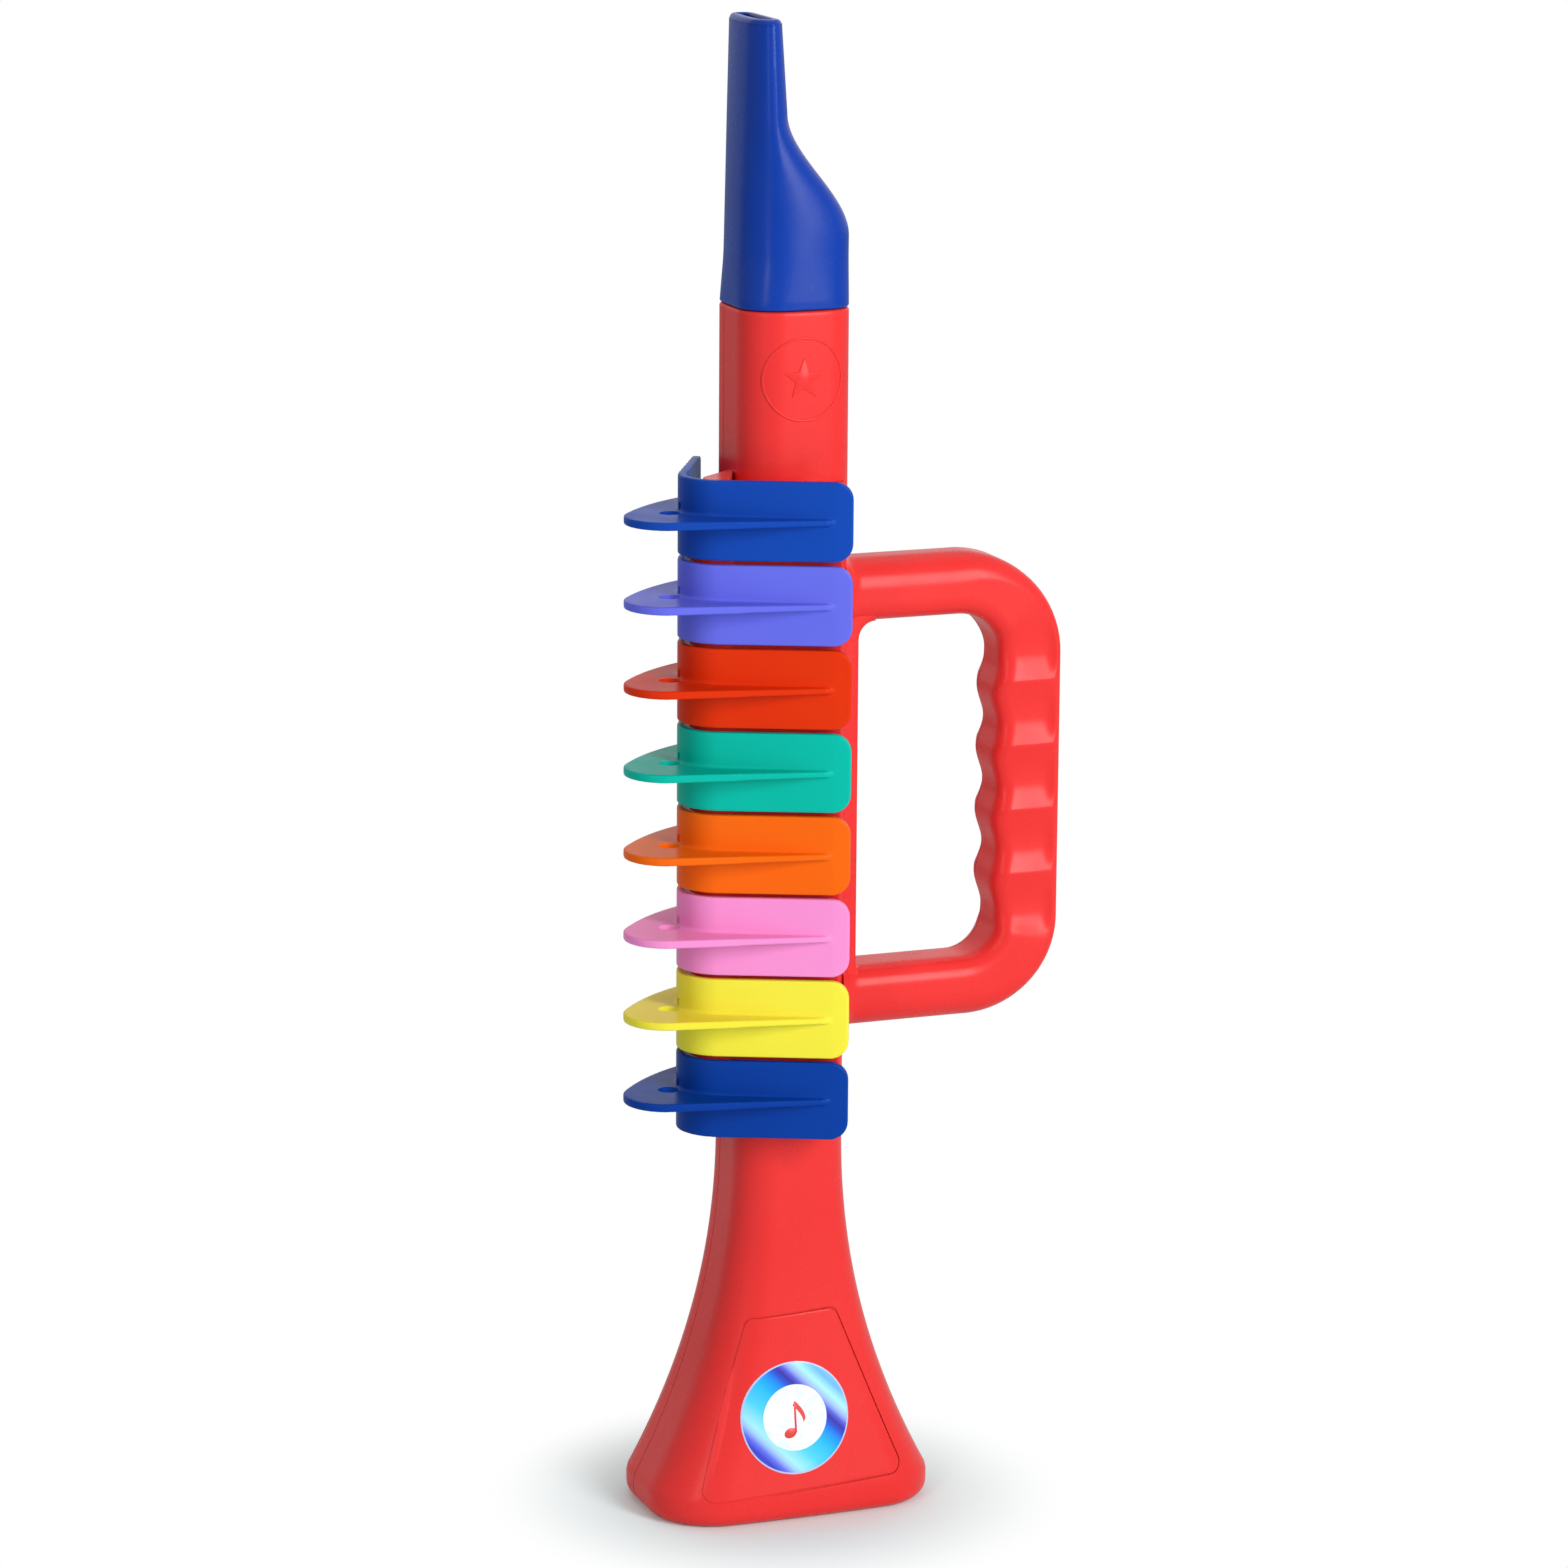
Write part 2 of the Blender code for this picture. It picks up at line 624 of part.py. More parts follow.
def hub_pockets(axis):
    """Room for each hub and spring between two lugs."""
    reach = HUB_RADIUS + POCKET_CLEARANCE
    far = HINGE_ALONG + reach
    deep = HINGE_IN + reach - GAP
    plan = [along_plate(-KEY_ROUND, -KEY_WALL), along_plate(far, -KEY_WALL),
            along_plate(far, deep), along_plate(-KEY_ROUND, deep)]
    levels = lug_levels()
    bm = bmesh.new()
    for upper, lower in zip(levels, levels[1:]):
        prism(bm, plan, lower[1], upper[0])
    return as_cutter(new_object("hub_pockets", bm, axis))


def rod_hole(axis):
    bm = bmesh.new()
    levels = lug_levels()
    prism(bm, circle(*HINGE, ROD_RADIUS + GAP, HOLE_SIDES), levels[-1][0] - OVERRUN, levels[0][1] - ROD_COVER)
    return as_cutter(new_object("rod_hole", bm, axis))


def air_holes(axis):
    """One bore for each key, from the chest's face into the body."""
    bm = bmesh.new()
    for index in range(KEY_COUNT):
        middle_z = key_middle(index)

        def place(x, y, z):
            px, py = along_plate(PAD_ALONG + x, CHEST_FRONT_IN + z)
            return px, py, middle_z + y

        prism(bm, circle(0, 0, AIR_HOLE_RADIUS, HOLE_SIDES), -OVERRUN, BODY_HALF_Y, place)
    return as_cutter(new_object("air_holes", bm, axis))


def half_space(axis, name, front, back):
    bm = bmesh.new()
    reach = GRIP_REACH * 2
    plan = [(-reach, front), (reach, front), (reach, back), (-reach, back)]
    prism(bm, plan, -OVERRUN * 2, BODY_TOP_Z + OVERRUN * 2)
    return as_cutter(new_object(name, bm, axis))


def shells(axis, finish):
    """Front and back halves of the body, bell and grip, parted at one plane."""
    solid = grip_solid(axis)
    opening = grip_hole(axis)
    channel = grip_channel(axis)
    cavity = body_cavity(axis)
    behind = half_space(axis, "cut_behind", PARTING_Y - GAP / 2, BELL_HALF_Y * 3)
    ahead = half_space(axis, "cut_ahead", -BELL_HALF_Y * 3, PARTING_Y + GAP / 2)

    front = outer_body(axis, "front_shell")
    boolean(front, panel(axis), "UNION")
    boolean(front, solid, "UNION")
    boolean(front, chest(axis), "UNION")
    boolean(front, behind, "DIFFERENCE")
    boolean(front, opening, "DIFFERENCE")
    boolean(front, cavity, "DIFFERENCE")
    boolean(front, channel, "DIFFERENCE")
    boolean(front, hub_pockets(axis), "DIFFERENCE")
    boolean(front, rod_hole(axis), "DIFFERENCE")
    boolean(front, air_holes(axis), "DIFFERENCE")

    back = outer_body(axis, "back_shell")
    boolean(back, solid, "UNION")
    boolean(back, ahead, "DIFFERENCE")
    boolean(back, opening, "DIFFERENCE")
    boolean(back, cavity, "DIFFERENCE")
    boolean(back, channel, "DIFFERENCE")
    for made in (front, back):
        made.data.materials.append(finish)
    return front, back


# Mouthpiece
def smooth(t):
    t = min(1.0, max(0.0, t))
    return t * t * (3 - 2 * t)


def mouth_plan(z):
    """Left, right, half depth and corner radius of the mouthpiece at a height."""
    climb = min(1.0, max(0.0, (z - BODY_TOP_Z) / MOUTH_HEIGHT))
    left = -BODY_HALF_X + (LIP_LEFT_X + BODY_HALF_X) * climb
    above = min(1.0, max(0.0, (z - MOUTH_SCOOP_HIGH_Z) / (MOUTH_TOP_Z - MOUTH_SCOOP_HIGH_Z)))
    line = LIP_RIGHT_LOW_X + (LIP_RIGHT_X - LIP_RIGHT_LOW_X) * above
    scoop = smooth((MOUTH_SCOOP_HIGH_Z - z) / (MOUTH_SCOOP_HIGH_Z - MOUTH_SCOOP_LOW_Z))
    right = line + (BODY_HALF_X - line) * scoop
    half_y = BODY_HALF_Y + (LIP_HALF_Y - BODY_HALF_Y) * climb
    corner = BODY_CORNER + (LIP_CORNER - BODY_CORNER) * climb
    return left, right, half_y, corner


def mouth_ring(z, inset):
    left, right, half_y, corner = mouth_plan(z)
    radius = max(corner - inset, corner * INNER_CORNER_SHARE)
    flat = rounded_box(left + inset, right - inset, inset - half_y, half_y - inset, radius)
    return [(x, y, z) for x, y in flat]


def mouthpiece(axis, finish):
    seam = BODY_TOP_Z + GAP
    spigot_inset = WALL + GAP
    inner_inset = spigot_inset + SPIGOT_WALL
    rise = MOUTH_SCOOP_HIGH_Z - MOUTH_SCOOP_LOW_Z
    levels = [seam + BODY_EDGE]
    levels += [MOUTH_SCOOP_LOW_Z + rise * k / SCOOP_STEPS for k in range(SCOOP_STEPS + 1)]
    bm = bmesh.new()
    rings = [mouth_ring(seam - SPIGOT_LENGTH, spigot_inset), mouth_ring(seam, spigot_inset),
             mouth_ring(seam, BODY_EDGE / 2)]
    rings += [mouth_ring(z, 0) for z in levels]
    for k in range(RIM_STEPS + 1):
        angle = math.pi / 2 * k / RIM_STEPS
        z = MOUTH_TOP_Z - MOUTH_EDGE * (1 - math.sin(angle))
        rings.append(mouth_ring(z, MOUTH_EDGE * (1 - math.cos(angle))))
    loft(bm, rings)
    made = new_object("mouthpiece", bm, axis, finish)

    bm = bmesh.new()
    rings = [mouth_ring(seam - SPIGOT_LENGTH - OVERRUN, inner_inset)]
    rings.append(mouth_ring(seam + MOUTH_WALL, inner_inset))
    rings.append(mouth_ring(seam + MOUTH_WALL * 2, MOUTH_WALL))
    rings += [mouth_ring(z, MOUTH_WALL) for z in levels[1:]]
    rings.append([(x, y, MOUTH_TOP_Z + OVERRUN) for x, y, z in mouth_ring(MOUTH_TOP_Z, MOUTH_WALL)])
    loft(bm, rings)
    boolean(made, as_cutter(new_object("mouthpiece_cavity", bm, axis)), "DIFFERENCE")
    return made


# Hinge rod and springs
def hinge_rod(axis, finish):
    levels = lug_levels()
    bm = bmesh.new()
    prism(bm, circle(*HINGE, ROD_RADIUS), levels[-1][0] + GAP, levels[0][1] - ROD_COVER - GAP)
    return new_object("key_hinge_rod", bm, axis, finish)


def return_spring(index, axis, finish):
    """Torsion spring above the hub: coils round the rod, one tail to the plate, one to the chest."""
    levels = lug_levels()
    hub_top = key_middle(index) + HUB_HEIGHT / 2
    low = hub_top + GAP + SPRING_WIRE
    high = levels[index][0] - GAP - SPRING_WIRE
    rise = (high - low) * SPRING_RISE_SHARE
    radius = ROD_RADIUS + GAP + SPRING_WIRE
    start = PLATE_ANGLE
    total = SPRING_TURNS * SPRING_SIDES
    points = []
    first = Vector((math.cos(start), math.sin(start)))
    along = Vector((-first.y, first.x))
    points.append(Vector((*(first * radius - along * SPRING_TAIL), low)))
    for k in range(total + 1):
        angle = start + 2 * math.pi * k / SPRING_SIDES
        points.append(Vector((radius * math.cos(angle), radius * math.sin(angle), low + rise * k / total)))
    last = points[-1]
    ahead = Vector((-math.sin(start), math.cos(start), 0))
    points.append(last + ahead * SPRING_TAIL)

    curve = bpy.data.curves.new("key_spring_%d" % (index + 1), "CURVE")
    curve.dimensions = "3D"
    curve.bevel_depth = SPRING_WIRE
    curve.bevel_resolution = 1
    curve.use_fill_caps = True
    line = curve.splines.new("POLY")
    line.points.add(len(points) - 1)
    for spot, point in zip(line.points, points):
        spot.co = (*point, 1)
    curve.materials.append(finish)
    made = bpy.data.objects.new(curve.name, curve)
    bpy.context.scene.collection.objects.link(made)
    made.parent = axis
    made.location = (*HINGE, 0)
    return made


# Reed plate and reeds
def reed_plate(axis, finish):
    """Long plate across the bore with a slot for every reed."""
    half_x = BODY_HALF_X - WALL - GAP
    front = -REED_PLATE_THICKNESS / 2 - REED_PLATE_DEPTH
    back = front + REED_PLATE_THICKNESS
    low = key_middle(KEY_COUNT - 1) - KEY_HEIGHT / 2
    high = KEY_TOP_Z
    plan = [(-half_x, front), (half_x, front), (half_x, back), (-half_x, back)]
    bm = bmesh.new()
    prism(bm, plan, low, high)
    made = new_object("reed_plate", bm, axis, finish)
    slots = bmesh.new()
    half = REED_WIDTH / 2 + REED_SLOT_MARGIN
    for index in range(KEY_COUNT):
        length = REED_LONGEST - REED_STEP * index
        base = key_middle(index) - length / 2
        slot = [(-half, front - OVERRUN), (half, front - OVERRUN),
                (half, back + OVERRUN), (-half, back + OVERRUN)]
        prism(slots, slot, base + REED_FOOT, base + length + REED_SLOT_MARGIN)
    boolean(made, as_cutter(new_object("reed_slots", slots, axis)), "DIFFERENCE")
    return made


def reed(index, axis, finish):
    length = REED_LONGEST - REED_STEP * index
    base = key_middle(index) - length / 2
    front = REED_PLATE_THICKNESS / 2 - REED_PLATE_DEPTH + GAP
    half = REED_WIDTH / 2
    plan = [(-half, front), (half, front), (half, front + REED_THICKNESS), (-half, front + REED_THICKNESS)]
    bm = bmesh.new()
    prism(bm, plan, base, base + length)
    return new_object("reed_%d" % (index + 1), bm, axis, finish)


def bore_place():
    """Plan place of the bore's axis that centres the whole part's box on the origin."""
    left = along_plate(FIN_TIP_ALONG, FIN_TIP_IN)[0] - FIN_TIP_ROUND
    front = along_plate(PLATE_LENGTH, 0)[1]
    back = max(along_leg(LEG_LENGTH, 0)[1], BELL_HALF_Y)
    return -(left + GRIP_REACH) / 2, -(front + back) / 2


def build():
    clear_scene()
    axis = bpy.data.objects.new("bore_axis", None)
    bpy.context.scene.collection.objects.link(axis)
    axis.location = (*bore_place(), 0)

    red = material("red_plastic", (0.80, 0.02, 0.02), 0.3)
    blue = material("blue_plastic", (0.01, 0.05, 0.35), 0.25)
    rubber = material("pad_rubber", (0.03, 0.03, 0.03), 0.8)
    steel = material("steel", (0.6, 0.6, 0.62), 0.25, 1.0)
    brass = material("reed_brass", (0.75, 0.55, 0.2), 0.3, 1.0)
    white = material("white_plastic", (0.8, 0.8, 0.78), 0.4)
    foil = material("foil_label", (0.1, 0.45, 0.9), 0.2)
    key_colours = (
        ("key_blue", (0.01, 0.06, 0.42)), ("key_violet", (0.14, 0.13, 0.78)),
        ("key_red", (0.80, 0.03, 0.01)), ("key_green", (0.01, 0.48, 0.35)),
        ("key_orange", (1.0, 0.15, 0.01)), ("key_pink", (1.0, 0.28, 0.62)),
        ("key_yellow", (0.94, 0.84, 0.07)), ("key_deep_blue", (0.01, 0.04, 0.30)))

    shells(axis, red)
    mouthpiece(axis, blue)
    label_disc(axis, foil)
    for index, (name, rgb) in enumerate(key_colours):
        finish = material(name, rgb, 0.3)
        pivot = key(index, axis, finish)
        key_pad(index, pivot, rubber)
        return_spring(index, axis, steel)
        reed(index, axis, brass)
    hinge_rod(axis, steel)
    reed_plate(axis, white)


build()
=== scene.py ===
"""Looks of the toy trumpet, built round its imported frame."""
import math

import bmesh
import bpy
from mathutils import Euler, Matrix, Vector


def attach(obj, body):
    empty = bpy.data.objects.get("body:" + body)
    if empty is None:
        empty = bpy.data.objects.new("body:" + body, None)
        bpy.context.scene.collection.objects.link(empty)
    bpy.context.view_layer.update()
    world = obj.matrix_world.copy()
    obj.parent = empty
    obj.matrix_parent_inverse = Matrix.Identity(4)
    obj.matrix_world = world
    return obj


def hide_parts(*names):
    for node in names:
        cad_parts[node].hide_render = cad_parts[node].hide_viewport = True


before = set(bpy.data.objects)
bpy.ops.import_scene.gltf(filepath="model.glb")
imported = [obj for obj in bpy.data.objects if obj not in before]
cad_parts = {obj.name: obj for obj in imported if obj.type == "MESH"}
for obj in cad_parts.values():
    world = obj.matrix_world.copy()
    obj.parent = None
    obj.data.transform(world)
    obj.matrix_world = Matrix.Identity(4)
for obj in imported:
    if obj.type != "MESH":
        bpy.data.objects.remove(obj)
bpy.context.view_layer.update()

MM = 0.001


# Body and bell
# A red ABS tube, a rounded rectangle in plan that flares into the bell. It is moulded as a deep
# front shell and a shallow back shell, joined on a line that shows as a fine groove on both sides.

BORE = Vector((-15.4756 * MM, 3.6464 * MM, 0))
BODY_HALF_X = 15.6 * MM
BODY_HALF_Y = 15.5 * MM
BODY_CORNER = 7.5 * MM
BODY_TOP_Z = 341.5 * MM
BODY_EDGE = 0.8 * MM
BODY_LEVELS = [z * MM for z in range(110, 341, 10)]
WALL = 2.2 * MM
PARTING_Y = 5.0 * MM
SEAM = 0.3 * MM
BELL_HALF_X = 41.3 * MM
BELL_HALF_Y = 25.5 * MM
BELL_CORNER = 16.0 * MM
BELL_START_Z = 108.0 * MM
BELL_LIP_Z = 8.2 * MM
BELL_CURVE_POWER = 2.1
FLARE_STEPS = 72
LIP_ROUND = 4.5 * MM
LIP_THICKNESS = 7.0 * MM
LIP_START_Z = 14.0 * MM
LIP_INNER_EDGE = 0.6 * MM
LEFT_FRONT_MORE = 2.6 * MM
CROWN = 0.07
FLOW_CLOUD = 38.0 * MM
GLOSS_SMEAR = 16.0 * MM
MOULD_WAVE = 9.0 * MM
WAVE_DEPTH = 0.15 * MM
# a moulding's skin has a grain of about 0.1 mm, drawn coarser here so that it shows
SKIN_GRAIN = 0.5 * MM
SKIN_DEPTH = 0.02 * MM
SAME_POINT = 0.005 * MM
QUARTER = math.pi / 2


def linear(code):
    """sRGB hex to the linear colour that a shader takes."""
    parts = [int(code[k:k + 2], 16) / 255 for k in (1, 3, 5)]
    return [c / 12.92 if c <= 0.04045 else ((c + 0.055) / 1.055) ** 2.4 for c in parts] + [1.0]


def feed(node, *links):
    """Links a node's sockets to outputs, or to the first live output of a whole node."""
    for socket, source in links:
        if isinstance(source, bpy.types.Node):
            source = next(output for output in source.outputs if output.enabled)
        node.id_data.links.new(source, node.inputs[socket])


def add(tree, kind, values=(), links=(), **settings):
    """Adds a node with its settings, socket values and links."""
    made = tree.nodes.new(kind)
    for name, value in settings.items():
        setattr(made, name, value)
    for socket, value in values:
        made.inputs[socket].default_value = value
    feed(made, *links)
    return made


def material(name, *fixed):
    """A new material with its tree, its shader with fixed values, and its object coordinates."""
    made = bpy.data.materials.new(name)
    made.use_nodes = True
    tree = made.node_tree
    shader = tree.nodes["Principled BSDF"]
    for socket, value in fixed:
        shader.inputs[socket].default_value = value
    return made, tree, shader, add(tree, "ShaderNodeTexCoord").outputs["Object"]


def moulded_abs(name, code, deep, roughness, level):
    """Injection moulded ABS: even colour with faint flow clouds, a fine skin and soft gloss."""
    made, tree, shader, place = material(name, ("IOR", 1.45), ("Specular IOR Level", level))
    flow = add(tree, "ShaderNodeTexNoise", [("Scale", 1 / FLOW_CLOUD), ("Detail", 2.0)], [("Vector", place)])
    share = add(tree, "ShaderNodeMapRange", [("From Min", 0.35), ("From Max", 0.75), ("To Max", 0.5)],
                [("Value", flow)])
    tint = add(tree, "ShaderNodeMix", [("A", linear(code)), ("B", linear(deep))], [("Factor", share)],
               data_type="RGBA")
    smear = add(tree, "ShaderNodeTexNoise", [("Scale", 1 / GLOSS_SMEAR), ("Detail", 4.0), ("Roughness", 0.6)],
                [("Vector", place)])
    gloss = add(tree, "ShaderNodeMapRange", [("From Min", 0.3), ("From Max", 0.7),
                ("To Min", roughness - 0.04), ("To Max", roughness + 0.06)], [("Value", smear)])
    wave = add(tree, "ShaderNodeTexNoise", [("Scale", 1 / MOULD_WAVE), ("Detail", 1.0)], [("Vector", place)])
    coarse = add(tree, "ShaderNodeBump", [("Strength", 0.12), ("Distance", WAVE_DEPTH)], [("Height", wave)])
    pores = add(tree, "ShaderNodeTexNoise", [("Scale", 1 / SKIN_GRAIN), ("Detail", 2.0)], [("Vector", place)])
    fine = add(tree, "ShaderNodeBump", [("Strength", 0.03), ("Distance", SKIN_DEPTH)],
               [("Height", pores), ("Normal", coarse)])
    feed(shader, ("Base Color", tint), ("Roughness", gloss), ("Normal", fine))
    return made


def placed(name, data):
    made = bpy.data.objects.new(name, data)
    bpy.context.scene.collection.objects.link(made)
    return made


def piece(name, bm, finish, sharp=35):
    """A finished mesh object at the origin, smooth but for its sharp edges."""
    bmesh.ops.remove_doubles(bm, verts=bm.verts, dist=SAME_POINT)
    bmesh.ops.recalc_face_normals(bm, faces=bm.faces)
    mesh = bpy.data.meshes.new(name)
    bm.to_mesh(mesh)
    bm.free()
    mesh.shade_smooth()
    mesh.set_sharp_from_angle(angle=math.radians(sharp))
    mesh.materials.append(finish)
    return placed(name, mesh)


def applied(made):
    """Turns an object's live modifiers into plain mesh."""
    deps = bpy.context.evaluated_depsgraph_get()
    mesh = bpy.data.meshes.new_from_object(made.evaluated_get(deps))
    made.modifiers.clear()
    made.data = mesh


def even_shading(made):
    """Weighted normals keep broad flat faces flat beside their rounds."""
    step = made.modifiers.new("even_shading", "WEIGHTED_NORMAL")
    step.keep_sharp = True
    step.weight = 50
    return made


def at_rest(made, body, slot, *nodes):
    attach(made, body)
    if nodes:
        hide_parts(*nodes)


def skin(bm, rings, closed=False):
    """Quads between rings of equal point counts."""
    made = [[bm.verts.new(p) for p in ring] for ring in rings]
    pairs = list(zip(made, made[1:]))
    if closed:
        pairs.append((made[-1], made[0]))
    for low, high in pairs:
        for k in range(len(low)):
            n = (k + 1) % len(low)
            bm.faces.new((low[k], low[n], high[n], high[k]))
    return made


def from_bore(x, y, z):
    return BORE + Vector((x, y, z))


def between(start, end, share):
    return start + (end - start) * share


def clamped(t):
    return min(1.0, max(0.0, t))


def arc(cx, cy, radius, start, end, steps):
    return [(cx + radius * math.cos(start + (end - start) * k / steps),
             cy + radius * math.sin(start + (end - start) * k / steps)) for k in range(steps + 1)]


def quarter_round(radius, steps):
    """Distances from a face and from a side, round the edge between them."""
    return [(radius * (1 - math.sin(QUARTER * k / steps)), radius * (1 - math.cos(QUARTER * k / steps)))
            for k in range(steps + 1)]


def rounded_box(left, right, front, back, radii, steps=10, side_steps=6):
    """Rounded rectangle in plan with extra points on its flats; its radii start at the right back."""
    corners = ((right, -1, back, -1), (left, 1, back, -1), (left, 1, front, 1), (right, -1, front, 1))
    places = [(x + in_x * turned, y + in_y * turned, turned)
              for (x, in_x, y, in_y), turned in zip(corners, radii)]
    points = []
    for k, (cx, cy, turned) in enumerate(places):
        turn = (k + 1) * QUARTER
        points += arc(cx, cy, turned, k * QUARTER, turn, steps)
        nx, ny, ahead = places[(k + 1) % 4]
        start = points[-1]
        end = (nx + ahead * math.cos(turn), ny + ahead * math.sin(turn))
        points += [(between(start[0], end[0], m / side_steps), between(start[1], end[1], m / side_steps))
                   for m in range(1, side_steps)]
    return points


def half_sizes(z):
    share = clamped((BELL_START_Z - z) / (BELL_START_Z - BELL_LIP_Z)) ** BELL_CURVE_POWER
    return (between(BODY_HALF_X, BELL_HALF_X, share), between(BODY_HALF_Y, BELL_HALF_Y, share),
            between(BODY_CORNER, BELL_CORNER, share))


def crowned(x, half_x, crown=CROWN):
    """The front and back are a little convex: this share of their depth is left at a width."""
    return 1 - crown * (x / half_x) ** 2


def body_ring(z, inset):
    half_x, half_y, corner = half_sizes(z)
    radius = max(corner - inset, corner * 0.3)
    flat = rounded_box(inset - half_x, half_x - inset, inset - half_y, half_y - inset,
                       (radius, radius, radius + LEFT_FRONT_MORE, radius), 14, 12)
    return [from_bore(x, y * crowned(x, half_x), z) for x, y in flat]


def split(bm, keep_front):
    """Cuts a closed form at the parting plane, keeps one side of it and closes the cut."""
    cut = BORE.y + PARTING_Y + (-SEAM / 2 if keep_front else SEAM / 2)
    bmesh.ops.bisect_plane(bm, geom=bm.verts[:] + bm.edges[:] + bm.faces[:], plane_co=(0, cut, 0),
                           plane_no=(0, 1, 0), clear_outer=keep_front, clear_inner=not keep_front)
    bmesh.ops.holes_fill(bm, edges=[edge for edge in bm.edges if len(edge.link_faces) == 1], sides=0)


def body_half(name, keep_front):
    """Tube with an outer and an inner skin, from the bell's lip up and back down inside."""
    rings = [body_ring(up, inset) for up, inset in reversed(quarter_round(LIP_ROUND, 8))]
    rings += [body_ring(between(LIP_ROUND, BELL_START_Z, k / FLARE_STEPS), 0)
              for k in range(1, FLARE_STEPS + 1)]
    rings += [body_ring(z, 0) for z in BODY_LEVELS]
    rings += [body_ring(BODY_TOP_Z - drop, inset) for drop, inset in quarter_round(BODY_EDGE, 4)]
    rings.append(body_ring(BODY_TOP_Z, WALL))
    rings += [body_ring(z, WALL) for z in reversed(BODY_LEVELS[:-1])]
    rings += [body_ring(between(BELL_START_Z, LIP_START_Z, k / 30), WALL) for k in range(31)]
    for k in range(1, 7):
        angle = QUARTER * k / 6
        rings.append(body_ring(between(LIP_START_Z, LIP_ROUND, math.sin(angle)),
                               between(LIP_THICKNESS, WALL, math.cos(angle))))
    rings.append(body_ring(LIP_INNER_EDGE, LIP_THICKNESS))
    rings.append(body_ring(0, LIP_THICKNESS - LIP_INNER_EDGE))
    bm = bmesh.new()
    skin(bm, rings, closed=True)
    split(bm, keep_front)
    return piece(name, bm, red_abs)


red_abs = moulded_abs("red_moulded_abs", "#E03231", "#D92826", 0.27, 0.17)
front_half = body_half("body_front_half", True)
at_rest(body_half("body_back_half", False), "root", "red_body", "back_shell")


# Bell panel
# A trapezium moulded a little proud of the bell's front, following its flare, with a fine groove
# along its right, upper and lower edges. It is plain and smooth, and carries the round label.

# middle x, width and height of the panel's lower and upper sides
PANEL_LOW = (-1.0 * MM, 61.2 * MM, 9.5 * MM)
PANEL_HIGH = (-2.5 * MM, 25.6 * MM, 59.0 * MM)
PANEL_SLANT = 0.05
PANEL_RISE = 0.7 * MM
PANEL_ROOT = 1.0 * MM
PANEL_EDGE = 0.5 * MM
PANEL_CORNER = 3.0 * MM
PANEL_MESH = 2.0 * MM
PANEL_FULL_RISE_X = 25.0 * MM
GROOVE_WIDTH = 0.5 * MM
GROOVE_OUT = 1.5 * MM


def bell_front(x, z, out=0):
    """Point on the bell's front, or in front of it by a height that shrinks to the left."""
    half_x, half_y, corner = half_sizes(z)
    corner += LEFT_FRONT_MORE if x < 0 else 0
    past = max(0.0, abs(x) - (half_x - corner))
    y = corner - half_y - math.sqrt(max(0.0, corner ** 2 - past ** 2))
    rise = out * (0.65 + 0.35 * min(1.0, x / PANEL_FULL_RISE_X))
    return from_bore(x, y * crowned(x, half_x) - rise, z)


def rounded_polygon(corners, steps=8):
    """Outline through (x, y, radius) corners, each turned into an arc."""
    points = []
    for k, (x, y, radius) in enumerate(corners):
        if radius == 0:
            points.append((x, y))
            continue
        here = Vector((x, y))
        back = (Vector(corners[k - 1][:2]) - here).normalized()
        ahead = (Vector(corners[(k + 1) % len(corners)][:2]) - here).normalized()
        half = back.angle(ahead) / 2
        middle = here + (back + ahead).normalized() * radius / math.sin(half)
        start = here + back * radius / math.tan(half) - middle
        end = here + ahead * radius / math.tan(half) - middle
        first = math.atan2(start.y, start.x)
        turn = (math.atan2(end.y, end.x) - first + math.pi) % (2 * math.pi) - math.pi
        points += arc(middle.x, middle.y, radius, first, first + turn, steps)
    return points


def subdivided(outline, longest):
    """The same outline with points added so that no side is longer than this."""
    points = []
    for k, point in enumerate(outline):
        here, ahead = Vector(point), Vector(outline[(k + 1) % len(outline)])
        count = max(1, math.ceil((ahead - here).length / longest))
        points += [tuple(here.lerp(ahead, m / count)) for m in range(count)]
    return points


def solid(bm, rings):
    """A skin closed by its first and last rings."""
    made = skin(bm, rings)
    bm.faces.new(list(reversed(made[0])))
    bm.faces.new(made[-1])


def cushion(bm, outline, low, high, edge, place, steps=4, crown_rings=0):
    """Prism whose top edge is rounded inwards, placed by a function of x, y and height."""
    count = len(outline)
    turned = []
    for k, point in enumerate(outline):
        here = Vector(point)
        before = (here - Vector(outline[k - 1])).normalized()
        after = (Vector(outline[(k + 1) % count]) - here).normalized()
        sides = [Vector((a.y, -a.x)) for a in (before, after)]
        turned.append((sides[0] + sides[1]) / (1 + sides[0].dot(sides[1])))
    rings = []
    for z, inset in [(low, 0)] + [(high - drop, inset) for drop, inset in quarter_round(edge, steps)]:
        rings.append([place(x - n.x * inset, y - n.y * inset, z) for (x, y), n in zip(outline, turned)])
    middle = sum((Vector(p) for p in outline), Vector((0, 0))) / count
    for k in range(1, crown_rings + 1):
        pull = k / (crown_rings + 1)
        rings.append([place(*(Vector((x - n.x * edge, y - n.y * edge)).lerp(middle, pull)), high)
                      for (x, y), n in zip(outline, turned)])
    solid(bm, rings)


def cut_away(made, bm):
    """Takes the form in a bmesh out of an object."""
    cutter = piece("cutter", bm, red_abs)
    step = made.modifiers.new("cut", "BOOLEAN")
    step.operation = "DIFFERENCE"
    step.object = cutter
    applied(made)
    bpy.data.objects.remove(cutter)


